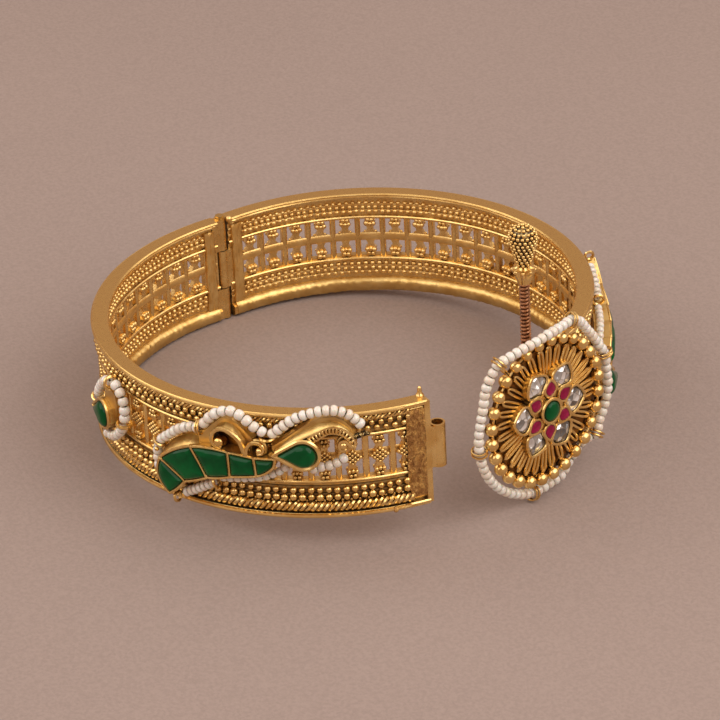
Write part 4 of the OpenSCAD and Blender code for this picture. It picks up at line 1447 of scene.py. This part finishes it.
# the camera: width, focal length and shift in pixels of the photo, degrees, and millimetres
PHOTO = 720
FOCUS = 4486.22
SHIFT = (-28.06, 41.36)
ELEVATION = 28.652
ROLL = -3.144
HEADING = -62.023
DISTANCE = 637.44
SENSOR = 36


def seen(v):
    """Turns a direction seen by the camera (right, away, up) into the bangle's frame."""
    a = math.radians(HEADING)
    x, y, z = v
    return np.array([math.cos(a) * x + math.sin(a) * y, -math.sin(a) * x + math.cos(a) * y, z])


def resting_plane():
    """The plane that the bangle rests on: where its weight falls in the hull of its lowest points."""
    points = np.vstack([[v.co for v in made.data.vertices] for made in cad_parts.values()])
    middle = points.mean(axis=0)
    mesh = bmesh.new()
    for p in points[points[:, 2] < 4 * MM]:
        mesh.verts.new(p)
    bmesh.ops.convex_hull(mesh, input=mesh.verts)
    best = None
    for face in mesh.faces:
        normal = np.array(face.normal)
        if normal[2] > -0.9:
            continue
        drop = normal @ (np.array(face.verts[0].co) - middle) / normal[2]
        spot = middle + np.array([0, 0, drop])
        corners = [np.array(v.co)[:2] for v in face.verts]
        turns = [left_of(b - a) @ (spot[:2] - a) for a, b in zip(corners, corners[1:] + corners[:1])]
        if min(turns) >= -1e-9 or max(turns) <= 1e-9:
            best = (-normal, np.array(face.verts[0].co))
    mesh.free()
    if best is None:
        raise RuntimeError("The bangle has no resting plane")
    return best


def aimed(origin, forward, up):
    """Where a lamp or camera stands that looks forward."""
    back_way = -unit(forward)
    right = unit(np.cross(up, back_way))
    over = np.cross(back_way, right)
    turn = Matrix(np.column_stack([right, over, back_way]).tolist()).to_4x4()
    return Matrix.Translation(origin.tolist()) @ turn


LIGHTS = [
    # right, away and up of the bangle in millimetres, size, watts, red, green, blue
    (0, 0, 700, 1600, 2.6, 1.0, 0.98, 0.96),
    (-546, 77, 344, 560, 1.25, 1.0, 0.98, 0.95),
    (504, 89, 400, 640, 1.15, 1.0, 0.98, 0.96),
    (364, -305, 399, 560, 1.7, 1.0, 0.98, 0.95),
    (-326, -326, 415, 480, 0.95, 1.0, 0.98, 0.96),
]
# colour of the light from all round
WORLD = (0.44, 0.31, 0.25)


class BANGLE_OT_stage(ORNAMENT, bpy.types.Operator):
    """Make the floor, the lights and the camera"""
    bl_idname = "bangle.stage"
    bl_label = "Stage"

    def execute(self, context):
        scene = context.scene
        normal, spot = resting_plane()
        across = unit(np.cross((0, 1, 0), normal))
        ground = Place(normal * (normal @ (spot / MM)), across, np.cross(normal, across), normal)
        shape = Shape()
        shape.rings([circle(r, 128, z) for z, r in ((-6, 190), (0, 190), (0, 120), (0, 60))])
        made = stood("paper", mesh_of("paper", shape, "floor", ground))
        for k, (x, y, z, size, watts, *tone) in enumerate(LIGHTS):
            lamp = bpy.data.lights.new(f"softbox_{k + 1}", "AREA")
            lamp.shape = "DISK"
            lamp.size = size * MM
            lamp.energy = watts
            lamp.color = tone
            place = seen((x, y, z)) * MM
            stood(lamp.name, lamp).matrix_world = aimed(place, -place, np.array([0.01, 0.02, 1]))
        world = bpy.data.worlds.new("studio")
        world.use_nodes = True
        scene.world = world
        sky = world.node_tree.nodes["Background"]
        sky.inputs["Color"].default_value = (*WORLD, 1)
        scene.view_settings.view_transform = "Standard"
        lens = bpy.data.cameras.new("photo_camera")
        camera = stood("photo_camera", lens)
        el, roll = math.radians(ELEVATION), math.radians(ROLL)
        ahead = seen((0, math.cos(el), -math.sin(el)))
        right = seen((1, 0, 0))
        over = seen((0, math.sin(el), math.cos(el)))
        picture_x = math.cos(roll) * right + math.sin(roll) * over
        picture_y = math.cos(roll) * over - math.sin(roll) * right
        aim = unit(ahead - picture_x * SHIFT[0] / FOCUS + picture_y * SHIFT[1] / FOCUS)
        camera.matrix_world = aimed(-ahead * DISTANCE * MM, aim, picture_y)
        lens.sensor_width = SENSOR
        lens.lens = SENSOR * FOCUS / PHOTO
        lens.clip_start = 0.01
        lens.clip_end = 10
        scene.camera = camera
        return {"FINISHED"}


class BANGLE_PT_panel(bpy.types.Panel):
    """Lists the steps that dress the bangle"""
    bl_label = "Bangle"
    bl_space_type = "VIEW_3D"
    bl_region_type = "UI"
    bl_category = "Bangle"

    def draw(self, context):
        for step in STEPS:
            self.layout.operator(step.bl_idname)
        for group in (context.scene.bangle_sizes, context.scene.bangle_colours):
            for name in group.bl_rna.properties.keys():
                if name not in {"rna_type", "name"}:
                    self.layout.prop(group, name)


STEPS = [
    BANGLE_OT_metal,
    BANGLE_OT_stage,
    BANGLE_OT_twisted_wire,
    BANGLE_OT_granule_rows,
    BANGLE_OT_columns,
    BANGLE_OT_arm_ends,
    BANGLE_OT_stone_edges,
    BANGLE_OT_scrolls,
    BANGLE_OT_green_stones,
    BANGLE_OT_arm_pearls,
    BANGLE_OT_rosette_beads,
    BANGLE_OT_rosette_wires,
    BANGLE_OT_rosette_stones,
    BANGLE_OT_rosette_pearls,
    BANGLE_OT_screw,
]
GROUPS = [BangleSizes, BangleColours]


def register():
    for kind in (*GROUPS, *STEPS, BANGLE_PT_panel):
        bpy.utils.register_class(kind)
    bpy.types.Scene.bangle_sizes = PointerProperty(type=BangleSizes)
    bpy.types.Scene.bangle_colours = PointerProperty(type=BangleColours)


def unregister():
    del bpy.types.Scene.bangle_colours
    del bpy.types.Scene.bangle_sizes
    for kind in reversed((*GROUPS, *STEPS, BANGLE_PT_panel)):
        bpy.utils.unregister_class(kind)


def main():
    register()
    bpy.ops.bangle.metal()
    bpy.ops.bangle.stage()
    bpy.ops.bangle.twisted_wire()
    bpy.ops.bangle.granule_rows()
    bpy.ops.bangle.columns()
    bpy.ops.bangle.arm_ends()
    bpy.ops.bangle.stone_edges()
    bpy.ops.bangle.scrolls()
    bpy.ops.bangle.green_stones()
    bpy.ops.bangle.arm_pearls()
    bpy.ops.bangle.rosette_beads()
    bpy.ops.bangle.rosette_wires()
    bpy.ops.bangle.rosette_stones()
    bpy.ops.bangle.rosette_pearls()
    bpy.ops.bangle.screw()


if __name__ == "__main__":
    main()
